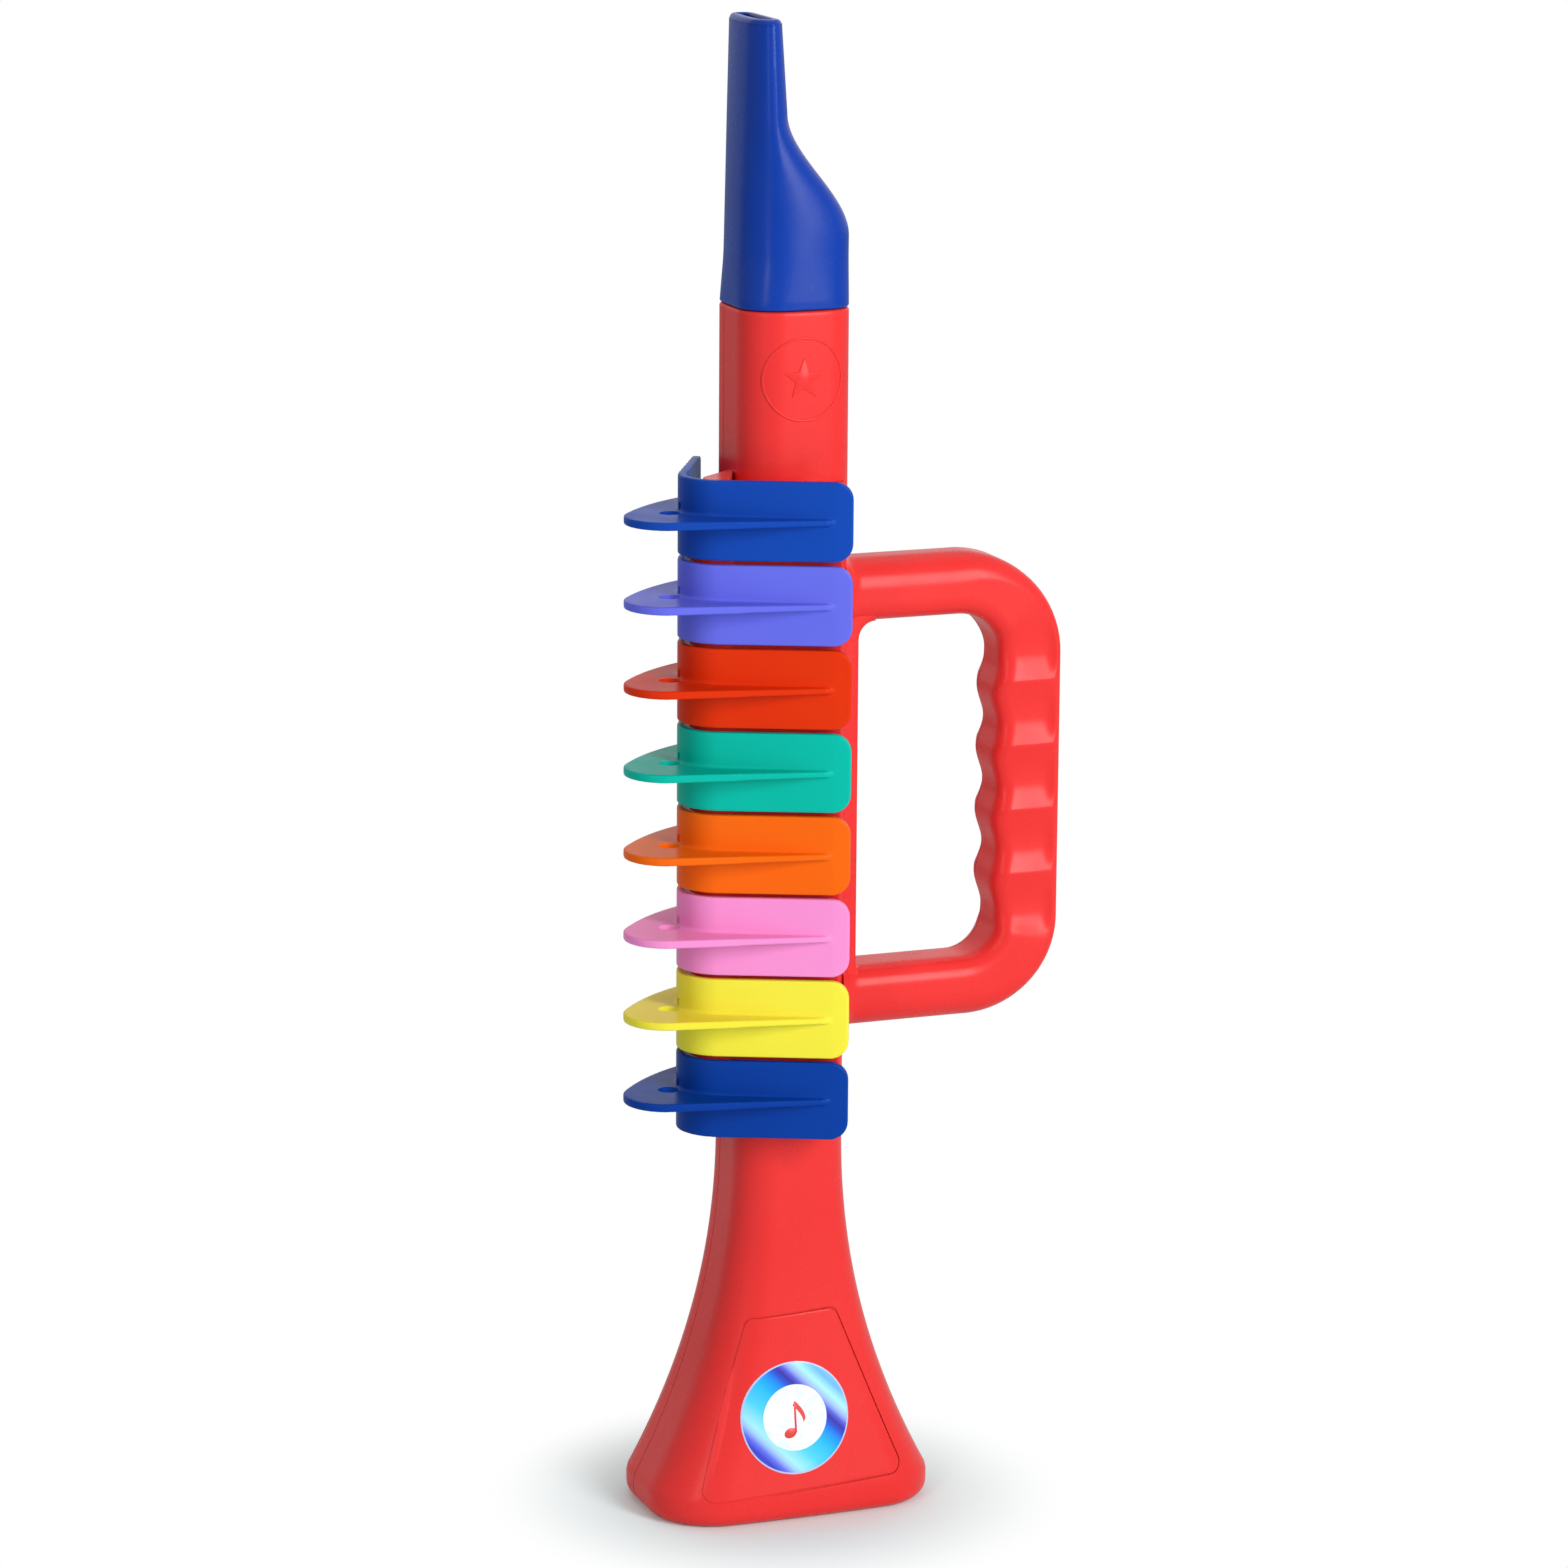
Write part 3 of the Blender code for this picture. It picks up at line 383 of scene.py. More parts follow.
panel_sides = [(x + side * width / 2, z)
               for (x, width, z), sides in ((PANEL_LOW, (-1, 1)), (PANEL_HIGH, (1, -1))) for side in sides]
panel_corners = rounded_polygon([(x, z + PANEL_SLANT * x, PANEL_CORNER) for x, z in panel_sides])
panel_outline = subdivided(panel_corners, PANEL_MESH)
bm = bmesh.new()
cushion(bm, panel_outline, -PANEL_ROOT, PANEL_RISE, PANEL_EDGE, bell_front, crown_rings=22)
at_rest(even_shading(piece("bell_panel", bm, red_abs, 60)), "root", "red_body")

left_side = math.ceil((Vector(panel_corners[0]) - Vector(panel_corners[-1])).length / PANEL_MESH)
path = [Vector(p) for p in panel_outline[:len(panel_outline) - left_side + 1]]
rings = []
for before, here, after in zip(path, path[1:], path[2:]):
    run = (after - before).normalized()
    wide = here + Vector((run.y, -run.x)) * GROOVE_WIDTH
    rings.append([bell_front(*p, out) for p, out in ((here, GROOVE_OUT), (wide, GROOVE_OUT),
                                                     (wide, -GROOVE_WIDTH), (here, -GROOVE_WIDTH))])
bm = bmesh.new()
solid(bm, rings)
cut_away(front_half, bm)
front_half.data.set_sharp_from_angle(angle=math.radians(35))
at_rest(front_half, "root", "red_body", "front_shell")


# Hand grip
# A D-shaped loop moulded with the shells, round in section, with four finger crests on its inner
# edge and hollows across its front and back. A thin strip closes the D along the body.

GRIP_REACH = 80.6 * MM
GRIP_TOP_Z = 270.5 * MM
GRIP_BOTTOM_Z = 137.3 * MM
GRIP_BAR_X = 17.8 * MM
GRIP_ARM_Z = 17.4 * MM
GRIP_HALF_Y = 10.0 * MM
GRIP_ROOT = 1.2 * MM
TOP_TURN = 21.0 * MM
LOW_TURN = 19.0 * MM
FINGER_PITCH = 18.0 * MM
FINGER_RISE = 1.9 * MM
FINGER_WAVE = 1.8 * MM
FINGER_MIDDLE_Z = 203.0 * MM
FRONT_HOLLOWS = 5
FRONT_HOLLOWS_Z = 252.1 * MM
FRONT_HOLLOW_PITCH = 18.4 * MM
HOLLOW_BOTTOM = 0.55
ROOT_FILLET = 3.5 * MM
STRIP_OUT = 4.6 * MM
STRIP_IN = 0.2 * MM
STRIP_HALF_Y = 8.5 * MM
STRIP_EDGE = 2.2 * MM
STRIP_OVERLAP = 7.0 * MM
STRIP_MESH = 4.0 * MM
WINDOW_ROUND = 5.0 * MM
WINDOW_LOW_ROUND = 1.0 * MM


def grip_path():
    """Stations along the loop's middle, from the upper arm's root round to the lower arm's."""
    root = BODY_HALF_X - GRIP_ROOT
    bar = GRIP_REACH - GRIP_BAR_X / 2
    top = GRIP_TOP_Z - GRIP_ARM_Z / 2
    low = GRIP_BOTTOM_Z + GRIP_ARM_Z / 2
    arm_steps, turn_steps, bar_steps = 26, 20, 150
    points = [(between(root, bar - TOP_TURN, k / arm_steps), top) for k in range(arm_steps)]
    points += arc(bar - TOP_TURN, top - TOP_TURN, TOP_TURN, QUARTER, 0, turn_steps)
    points += [(bar, between(top - TOP_TURN, low + LOW_TURN, k / bar_steps)) for k in range(1, bar_steps)]
    points += arc(bar - LOW_TURN, low + LOW_TURN, LOW_TURN, 0, -QUARTER, turn_steps)
    points += [(between(bar - LOW_TURN, root, k / arm_steps), low) for k in range(1, arm_steps + 1)]
    return [Vector(p) for p in points]


def finger_share(z):
    """0 in a finger hollow of the inner edge and 1 on a crest."""
    span = FINGER_PITCH * 2
    if abs(z - FINGER_MIDDLE_Z) > span:
        return 0
    return 0.5 - 0.5 * math.cos(2 * math.pi * (z - FINGER_MIDDLE_Z + span) / FINGER_PITCH)


def front_hollow(z):
    """1 at the bottom of a hollow across the front and 0 on a crest, which is steep from above."""
    turns = (FRONT_HOLLOWS_Z - z) / FRONT_HOLLOW_PITCH
    if turns < 0 or turns > FRONT_HOLLOWS:
        return 0
    u = turns % 1
    if u < HOLLOW_BOTTOM:
        return math.sin(QUARTER * u / HOLLOW_BOTTOM)
    return math.cos(QUARTER * (u - HOLLOW_BOTTOM) / (1 - HOLLOW_BOTTOM))


def smooth(t):
    t = clamped(t)
    return t * t * (3 - 2 * t)


def grip_ring(place, heading, half_in, half_out, half_y, corner, outer_corner, wave):
    """Rounded section across the path; waves hollow its front and back, but not its outer side."""
    side = Vector((-heading.y, heading.x))
    ring = []
    radii = (corner, outer_corner, outer_corner, corner)
    for a, b in rounded_box(-half_out, half_in, -half_y, half_y, radii, 8):
        b *= 1 - wave / half_y * smooth(((a + half_out) / (half_in + half_out) - 0.02) / 0.2)
        ring.append(from_bore(place.x - side.x * a, b, place.y - side.y * a))
    return ring


def root_swell(x):
    """Fillet where the arm meets the body's side."""
    away = x - BODY_HALF_X
    if away >= ROOT_FILLET:
        return 0
    rise = ROOT_FILLET - max(0.0, away)
    return (ROOT_FILLET - math.sqrt(max(0.0, ROOT_FILLET ** 2 - rise ** 2))) * 0.8


def grip_half(name, keep_front):
    points = grip_path()
    rings = []
    for before, place, after in zip(points[:1] + points, points, points[1:] + points[-1:]):
        heading = (after - before).normalized()
        upright = abs(heading.y)
        half = between(GRIP_ARM_Z, GRIP_BAR_X, upright) / 2
        outer = place.x > GRIP_REACH - GRIP_BAR_X
        share = finger_share(place.y) if outer else 0
        hollow = front_hollow(place.y) if outer else 0
        swell = root_swell(place.x)
        rings.append(grip_ring(place, heading, half + FINGER_RISE * share + swell, half + swell,
                               GRIP_HALF_Y + swell, half * (0.66 - 0.15 * upright),
                               half * (0.92 - 0.6 * upright), FINGER_WAVE * hollow * upright))
    bm = bmesh.new()
    solid(bm, rings)
    split(bm, keep_front)
    return piece(name, bm, red_abs)


at_rest(grip_half("grip_front_half", True), "root", "red_body")
at_rest(grip_half("grip_back_half", False), "root", "red_body")


def grip_strip(name, outward):
    """The web along the body between the grip's arms, with a wide round below the upper arm."""
    seam_y = PARTING_Y + outward * SEAM / 2
    low = GRIP_BOTTOM_Z + GRIP_ARM_Z
    high = GRIP_TOP_Z - GRIP_ARM_Z
    inside = BODY_HALF_X - WALL + STRIP_IN
    face = BODY_HALF_X + STRIP_OUT
    low_x = face + WINDOW_LOW_ROUND
    high_x = face + WINDOW_ROUND
    outline = [(inside, low - STRIP_OVERLAP), (low_x, low - STRIP_OVERLAP), (low_x, low)]
    outline += arc(low_x, low + WINDOW_LOW_ROUND, WINDOW_LOW_ROUND, -QUARTER, -math.pi, 5)[1:]
    outline += arc(high_x, high - WINDOW_ROUND, WINDOW_ROUND, math.pi, QUARTER, 12)
    outline += [(high_x, high + STRIP_OVERLAP), (inside, high + STRIP_OVERLAP)]
    bm = bmesh.new()
    cushion(bm, subdivided(outline, STRIP_MESH), 0, abs(outward * STRIP_HALF_Y - seam_y), STRIP_EDGE,
            lambda x, z, depth: from_bore(x, seam_y + outward * depth, z), 6)
    return even_shading(piece(name, bm, red_abs))


at_rest(grip_strip("grip_strip_front", -1), "root", "red_body")
at_rest(grip_strip("grip_strip_back", 1), "root", "red_body")


# Mouthpiece
# A hollow moulding of blue ABS, plugged into the body's top by a spigot. Its right side is scooped
# away to a thin lip with a long slot that is blown into.

MOUTH_HEIGHT = 78.5 * MM
MOUTH_TOP_Z = BODY_TOP_Z + MOUTH_HEIGHT
SCOOP_HIGH_Z = BODY_TOP_Z + MOUTH_HEIGHT * 0.678
SCOOP_LOW_Z = BODY_TOP_Z + MOUTH_HEIGHT * 0.246
LIP_LEFT_X = -13.9 * MM
LIP_RIGHT_X = -4.6 * MM
LIP_RIGHT_LOW_X = -2.7 * MM
LIP_HALF_Y = 13.2 * MM
LIP_CORNER = 3.6 * MM
LIP_LEFT_CORNER = 5.6 * MM
MOUTH_CROWN = 0.14
MOUTH_SIDE_CROWN = 1.3 * MM
MOUTH_EDGE = 1.8 * MM
MOUTH_LOW_EDGE = 0.5 * MM
SLOT_IN = 3.0 * MM
SLOT_WIDTH_EDGE = 0.35 * MM
SLOT_HEIGHT_EDGE = 0.4 * MM
SPIGOT_LENGTH = 8.0 * MM
SPIGOT_WALL = 1.6 * MM
CHAMBER_STEP = 2.0 * MM
MOUTH_RING = 3.0 * MM
SLOT_RING = 4.0 * MM
SCOOP_STEPS = 40


def mouth_ring(z, inset):
    climb = clamped((z - BODY_TOP_Z) / MOUTH_HEIGHT)
    left = between(-BODY_HALF_X, LIP_LEFT_X, climb)
    line = between(LIP_RIGHT_LOW_X, LIP_RIGHT_X, clamped((z - SCOOP_HIGH_Z) / (MOUTH_TOP_Z - SCOOP_HIGH_Z)))
    right = between(line, BODY_HALF_X, smooth((SCOOP_HIGH_Z - z) / (SCOOP_HIGH_Z - SCOOP_LOW_Z)))
    half_y = between(BODY_HALF_Y, LIP_HALF_Y, climb)
    corner = between(BODY_CORNER, LIP_CORNER, climb)
    broad = between(BODY_CORNER + LEFT_FRONT_MORE, LIP_LEFT_CORNER, climb)
    flat = rounded_box(left + inset, right - inset, inset - half_y, half_y - inset,
                       [max(radius - inset, radius * 0.35) for radius in (corner, corner, broad, corner)])
    middle, half_x = (left + right) / 2, (right - left) / 2
    crown = between(CROWN, MOUTH_CROWN, min(1.0, climb * 6))
    bow = MOUTH_SIDE_CROWN * min(1.0, climb * 6)
    points = []
    for x, y in flat:
        bowed = bow * max(0.0, (middle - x) / half_x) * (y / half_y) ** 2
        points.append(from_bore(x + bowed, y * crowned(x - middle, half_x, crown), z))
    return points


def mouthpiece():
    """Outer skin from the spigot up to the lip, and the inner skin back down."""
    seam = BODY_TOP_Z + SEAM
    plug = WALL + SEAM
    inner = plug + SPIGOT_WALL
    scoop = [between(SCOOP_LOW_Z, SCOOP_HIGH_Z, k / SCOOP_STEPS) for k in range(SCOOP_STEPS + 1)]
    rings = [mouth_ring(seam - SPIGOT_LENGTH, plug), mouth_ring(seam, plug)]
    rings += [mouth_ring(seam + up, inset) for inset, up in quarter_round(MOUTH_LOW_EDGE, 4)]
    rings += [mouth_ring(BODY_TOP_Z + MOUTH_RING * k, 0) for k in range(1, 7)]
    rings += [mouth_ring(z, 0) for z in scoop]
    rings += [mouth_ring(SCOOP_HIGH_Z + MOUTH_RING * k, 0) for k in range(1, 9)]
    rings += [mouth_ring(MOUTH_TOP_Z - drop, inset) for drop, inset in quarter_round(MOUTH_EDGE, 8)]
    rings.append(mouth_ring(MOUTH_TOP_Z, SLOT_IN - SLOT_WIDTH_EDGE))
    rings.append(mouth_ring(MOUTH_TOP_Z - SLOT_HEIGHT_EDGE, SLOT_IN))
    rings += [mouth_ring(MOUTH_TOP_Z - SLOT_RING * k, SLOT_IN) for k in range(1, 7)]
    rings += [mouth_ring(z, SLOT_IN) for z in reversed(scoop)]
    rings.append(mouth_ring(seam + CHAMBER_STEP * 2, SLOT_IN))
    rings += [mouth_ring(z, inner) for z in (seam + CHAMBER_STEP, seam - SPIGOT_LENGTH)]
    bm = bmesh.new()
    skin(bm, rings, closed=True)
    return piece("mouthpiece_blue", bm, blue_abs, 45)


blue_abs = moulded_abs("blue_moulded_abs", "#05369A", "#052F88", 0.26, 0.2)
at_rest(mouthpiece(), "root", "blue_mouthpiece", "mouthpiece")


# Embossed ring
# High on the body's front the mould raises a half-round ring, with a plain five-pointed star
# inside it. Both follow the front's slight crown.

EMBOSS_Z = 323.0 * MM
EMBOSS_RADIUS = 11.3 * MM
EMBOSS_WIRE = 0.35 * MM
STAR_RADIUS = 6.0 * MM
STAR_WAIST = 0.42
STAR_ROOT = 0.4 * MM
STAR_RISE = 0.25 * MM
STAR_EDGE = 0.2 * MM

bm = bmesh.new()
emboss_centre = from_bore(0, -BODY_HALF_Y, EMBOSS_Z)
section = [(EMBOSS_WIRE * x, EMBOSS_WIRE * y * 0.8) for x, y in arc(0, 0, 1, 0, math.pi, 8)]
section += [(-EMBOSS_WIRE, -EMBOSS_WIRE), (EMBOSS_WIRE, -EMBOSS_WIRE)]
skin(bm, [[emboss_centre + Vector((x, 0, z)) * (EMBOSS_RADIUS + wide) - Vector((0, out, 0))
           for wide, out in section] for x, z in arc(0, 0, 1, 0, 2 * math.pi, 72)[:-1]], closed=True)
star = [(x * reach, z * reach) for (x, z), reach in zip(arc(0, 0, STAR_RADIUS, QUARTER, QUARTER * 5, 10),
                                                        (1, STAR_WAIST) * 5)]
cushion(bm, star, -STAR_ROOT, STAR_RISE, STAR_EDGE, lambda x, z, out: emboss_centre + Vector((x, -out, z)), 2)
for vert in bm.verts:
    vert.co.y += bell_front(vert.co.x - BORE.x, EMBOSS_Z).y - emboss_centre.y
at_rest(piece("embossed_ring", bm, red_abs, 40), "root", "red_body")


# Keys
# Eight moulded keys in their own colours, each bent to an L. A finger tab with a hung-up hole
# sticks out of the corner and runs down the plate as a rib; a hub inside turns on the rod.

KEY_COUNT = 8
KEY_PITCH = 23.2 * MM
KEY_HEIGHT = 22.0 * MM
KEY_TOP_Z = 297.0 * MM
KEY_CORNER_X = -37.2 * MM
KEY_CORNER_Y = -12.7 * MM
PLATE_LENGTH = 49.4 * MM
PLATE_ANGLE = math.radians(-24.0)
LEG_LENGTH = 41.5 * MM
LEG_ANGLE = math.radians(61.7)
KEY_WALL = 2.3 * MM
KEY_ROUND = 12.2 * MM
PLATE_END_ROUND = 5.0 * MM
END_FACET = 4.6 * MM
END_FACET_TURN = math.radians(5.0)
FIN_THICKNESS = 2.3 * MM
FIN_TIP_ROUND = 11.7 * MM
FIN_TIP_ALONG = -1.2 * MM
FIN_TIP_IN = 1.1 * MM
FIN_BULGE_OUT = 9.7 * MM
FIN_HOLE_RADIUS = 3.0 * MM
FIN_HOLE_ALONG = -0.6 * MM
FIN_HOLE_IN = 4.6 * MM
RIB_END_THICKNESS = 1.7 * MM
RIB_END_RISE = 0.8 * MM
RIB_END = 0.9
HINGE_ALONG = 14.0 * MM
HINGE_IN = 7.0 * MM
ROD_RADIUS = 1.2 * MM
ROD_CLEARANCE = 0.35 * MM
HUB_RADIUS = 2.9 * MM
HUB_HEIGHT = 7.0 * MM
NOTCH_HALF = 0.8 * MM
NOTCH_LIFT = 0.3 * MM
NOTCH_HEIGHT = 2.1 * MM
KEY_VOXEL = 0.34 * MM


def along_plate(along, inward):
    x = KEY_CORNER_X + along * math.cos(PLATE_ANGLE) - inward * math.sin(PLATE_ANGLE)
    y = KEY_CORNER_Y + along * math.sin(PLATE_ANGLE) + inward * math.cos(PLATE_ANGLE)
    return x, y


def along_leg(along, inward):
    x = KEY_CORNER_X + along * math.cos(LEG_ANGLE) + inward * math.sin(LEG_ANGLE)
    y = KEY_CORNER_Y + along * math.sin(LEG_ANGLE) - inward * math.cos(LEG_ANGLE)
    return x, y


HINGE = along_plate(HINGE_ALONG, HINGE_IN)
BEND = LEG_ANGLE - PLATE_ANGLE
BEND_MIDDLE = Vector(along_plate(KEY_ROUND / math.tan(BEND / 2), KEY_ROUND))
NOTCH_RAY = Vector((math.cos(math.radians(177.0)), math.sin(math.radians(177.0))))


def key_middle(index):
    return KEY_TOP_Z - KEY_HEIGHT / 2 - KEY_PITCH * index


def circle(cx, cy, radius, count):
    return arc(cx, cy, radius, 0, 2 * math.pi, count)[:-1]


def key_wall_rings():
    """The bent wall from the plate's rounded end to the leg's end, about its middle height."""
    half = KEY_HEIGHT / 2
    stations = []
    for drop, short in quarter_round(PLATE_END_ROUND, 14):
        back = PLATE_LENGTH - short
        turned = max(0.0, back - PLATE_LENGTH + END_FACET) * math.tan(END_FACET_TURN)
        stations.append((along_plate(back, turned), along_plate(back, KEY_WALL + turned), half - drop))
    plain = PLATE_LENGTH - max(END_FACET, PLATE_END_ROUND)
    stations.append((along_plate(plain, 0), along_plate(plain, KEY_WALL), half))
    for k in range(25):
        angle = PLATE_ANGLE - QUARTER - (math.pi - BEND) * k / 24
        ray = Vector((math.cos(angle), math.sin(angle)))
        outer = BEND_MIDDLE + ray * KEY_ROUND
        inner = BEND_MIDDLE + ray * (KEY_ROUND - KEY_WALL)
        stations.append((outer, inner, half))
    for short, drop in quarter_round(KEY_WALL, 4):
        along = LEG_LENGTH - short
        stations.append((along_leg(along, 0), along_leg(along, KEY_WALL), half - drop * 0.6))
    return [[(*outer, -h), (*inner, -h), (*inner, h), (*outer, h)] for outer, inner, h in stations]


def fin_outline():
    """Finger tab in plan: round tip, a rib down the plate and a bulging far edge to the leg."""
    tip = Vector(along_plate(FIN_TIP_ALONG, FIN_TIP_IN))
    rib_end = Vector(along_plate(PLATE_LENGTH * RIB_END, -RIB_END_RISE))
    far_end = Vector(along_leg(LEG_LENGTH * 0.8, 0))
    bulge = Vector(along_leg(LEG_LENGTH * 0.49, -FIN_BULGE_OUT))

    def tangent(point, side):
        line = tip - point
        lean = math.asin(FIN_TIP_ROUND / line.length)
        return math.atan2(line.y, line.x) + side * lean + side * QUARTER

    start = tangent(rib_end, 1)
    sweep = (start - tangent(bulge, -1)) % (2 * math.pi)
    points = arc(tip.x, tip.y, FIN_TIP_ROUND, start, start - sweep, 30)
    leave = Vector(points[-1])
    for k in range(1, 17):
        t = k / 16
        points.append(tuple(leave * (1 - t) ** 2 + bulge * (2 * t * (1 - t)) + far_end * t ** 2))
    points.append(along_leg(LEG_LENGTH * 0.8, KEY_WALL / 2))
    points += arc(*BEND_MIDDLE, KEY_ROUND - KEY_WALL / 2, LEG_ANGLE + QUARTER, PLATE_ANGLE + QUARTER * 3, 12)
    return points


def rib_rings():
    """Sections of the rib down the plate, thinner and lower towards its rounded end."""
    first = Vector(fin_outline()[0]) - Vector((KEY_CORNER_X, KEY_CORNER_Y))
    start = first.dot(Vector((math.cos(PLATE_ANGLE), math.sin(PLATE_ANGLE))))
    start_rise = -first.dot(Vector((-math.sin(PLATE_ANGLE), math.cos(PLATE_ANGLE))))
    end = PLATE_LENGTH * RIB_END
    rings = []
    for k in range(25):
        t = k / 24
        along = between(start, end, t)
        over = max(0.0, 1 - (end - along) / RIB_END_RISE) ** 2
        rise = between(start_rise, RIB_END_RISE, t) * math.sqrt(max(0.04, 1 - over))
        half = between(FIN_THICKNESS, RIB_END_THICKNESS, t) / 2 * math.sqrt(max(0.25, 1 - over))
        low, high = along_plate(along, KEY_WALL / 2), along_plate(along, -rise)
        rings.append([(*low, -half), (*high, -half), (*high, half), (*low, half)])
    return rings


def prism(bm, outline, low, high, place=lambda *point: point):
    solid(bm, [[place(x, y, z) for x, y in outline] for z in (low, high)])


def plate_box(along, past, inward, deep):
    """Corners in plan of a box that is square to the plate."""
    return [along_plate(a, i) for a, i in ((along, inward), (past, inward), (past, deep), (along, deep))]


def turn_key(bm, angle):
    bmesh.ops.rotate(bm, verts=bm.verts, cent=(KEY_CORNER_X, KEY_CORNER_Y, 0),
                     matrix=Matrix.Rotation(angle, 3, "Z"))


def key_master():
    """One key about z = 0, fused by a fine remesh that rounds its edges as a mould does."""
    bm = bmesh.new()
    solid(bm, key_wall_rings())
    prism(bm, fin_outline(), -FIN_THICKNESS / 2, FIN_THICKNESS / 2)
    solid(bm, rib_rings())
    prism(bm, circle(*HINGE, HUB_RADIUS, 32), -HUB_HEIGHT / 2, HUB_HEIGHT / 2)
    half = HUB_RADIUS * 0.7
    prism(bm, plate_box(HINGE_ALONG - half, HINGE_ALONG + half, KEY_WALL / 2, HINGE_IN),
          -HUB_HEIGHT / 2, HUB_HEIGHT / 2)
    bmesh.ops.recalc_face_normals(bm, faces=bm.faces)
    turn_key(bm, -PLATE_ANGLE)
    mesh = bpy.data.meshes.new("key_master")
    bm.to_mesh(mesh)
    made = placed("key_master", mesh)
    fuse = made.modifiers.new("fuse", "REMESH")
    fuse.mode = "VOXEL"
    fuse.voxel_size = KEY_VOXEL
    soften = made.modifiers.new("soften", "SMOOTH")
    soften.factor = 0.5
    soften.iterations = 8
    thin = made.modifiers.new("thin", "DECIMATE")
    thin.ratio = 0.42
    applied(made)
    bm.clear()
    bm.from_mesh(made.data)
    turn_key(bm, PLATE_ANGLE)
    bm.to_mesh(made.data)
    bm.clear()
    prism(bm, circle(*HINGE, ROD_RADIUS + ROD_CLEARANCE, 28), -HUB_HEIGHT, HUB_HEIGHT)
    prism(bm, circle(*along_plate(FIN_HOLE_ALONG, FIN_HOLE_IN), FIN_HOLE_RADIUS, 32),
          -FIN_THICKNESS, FIN_THICKNESS)
    near, far = KEY_ROUND - KEY_WALL * 0.6, KEY_ROUND + KEY_WALL
    notch_low = FIN_THICKNESS / 2 + NOTCH_LIFT
    prism(bm, [BEND_MIDDLE + NOTCH_RAY * reach + NOTCH_RAY.orthogonal() * aside for reach, aside in
               ((near, -NOTCH_HALF), (far, -NOTCH_HALF), (far, NOTCH_HALF), (near, NOTCH_HALF))],
          notch_low, notch_low + NOTCH_HEIGHT)
    cut_away(made, bm)
    return made


# each key's slot, its colour and the deeper colour of its flow clouds, from the top down
KEY_COLOURS = (("key_blue", "#1143A6", "#0E3C98"), ("key_violet", "#6368D9", "#5A5DD0"),
               ("key_red", "#D73108", "#CD2804"), ("key_green", "#03B19E", "#02A492"),
               ("key_orange", "#EC640D", "#E65906"), ("key_pink", "#EC8CC8", "#E681C0"),
               ("key_yellow", "#EADD42", "#E3D42E"), ("key_deep_blue", "#063A97", "#053389"))
master = key_master()
for index, (slot_name, code, deep) in enumerate(KEY_COLOURS):
    body = "key_%d_body" % (index + 1)
    finish = moulded_abs(slot_name + "_abs", code, deep, 0.32, 0.08)
    bm = bmesh.new()
    bm.from_mesh(master.data)
    bmesh.ops.translate(bm, verts=bm.verts, vec=from_bore(0, 0, key_middle(index)))
    at_rest(piece("finger_key_%d" % (index + 1), bm, finish, 80), body, slot_name, "key_%d" % (index + 1))
bpy.data.objects.remove(master)


# Pads
# Soft black rubber discs, cut from sheet and stuck behind the plates. Each shuts the air hole of
# its key when the spring turns the plate home.

PAD_THICKNESS = 1.4 * MM
PAD_RADIUS = 6.5 * MM
PAD_EDGE = 0.4 * MM
PAD_ALONG = 31.5 * MM
PAD_SEAT = KEY_WALL + SEAM
RUBBER_GRAIN = 0.6 * MM
RUBBER_RELIEF = 0.1 * MM


def fine_grained(name, code, grain, gloss, detail=3.0, drawn=1.0, metal=0.0, relief=0):
    """One colour whose gloss varies with its grain, which is drawn out along Z on drawn metal."""
    made, tree, shader, place = material(name, ("Base Color", linear(code)), ("Metallic", metal))
    run = add(tree, "ShaderNodeMapping", [("Scale", (1.0, 1.0, drawn))], [("Vector", place)])
    marks = add(tree, "ShaderNodeTexNoise", [("Scale", 1 / grain), ("Detail", detail)], [("Vector", run)])
    dull = add(tree, "ShaderNodeMapRange", [("To Min", gloss[0]), ("To Max", gloss[1])], [("Value", marks)])
    feed(shader, ("Roughness", dull))
    if relief:
        bump = add(tree, "ShaderNodeBump", [("Strength", 0.3), ("Distance", relief)], [("Height", marks)])
        feed(shader, ("Normal", bump))
    return made


def pad_place(index):
    """Places a form behind a key's plate, about its pad's middle, by its depth from the plate."""
    return lambda x, y, depth: from_bore(*along_plate(PAD_ALONG + x, depth), key_middle(index) + y)


rubber = fine_grained("pad_rubber", "#17181A", RUBBER_GRAIN, (0.7, 0.9), relief=RUBBER_RELIEF)
for index in range(KEY_COUNT):
    bm = bmesh.new()
    cushion(bm, circle(0, 0, PAD_RADIUS, 40), PAD_SEAT, PAD_SEAT + PAD_THICKNESS, PAD_EDGE, pad_place(index))
    at_rest(piece("pad_%d" % (index + 1), bm, rubber, 60), "key_%d_body" % (index + 1), "pad_rubber",
            "key_pad_%d" % (index + 1))


# Valve chest
# A wedge moulded on the body's front and left corner. Its face behind the plates holds the air
# holes, and nine lugs on its left edge hold the keys' rod, with a pocket for each hub between.

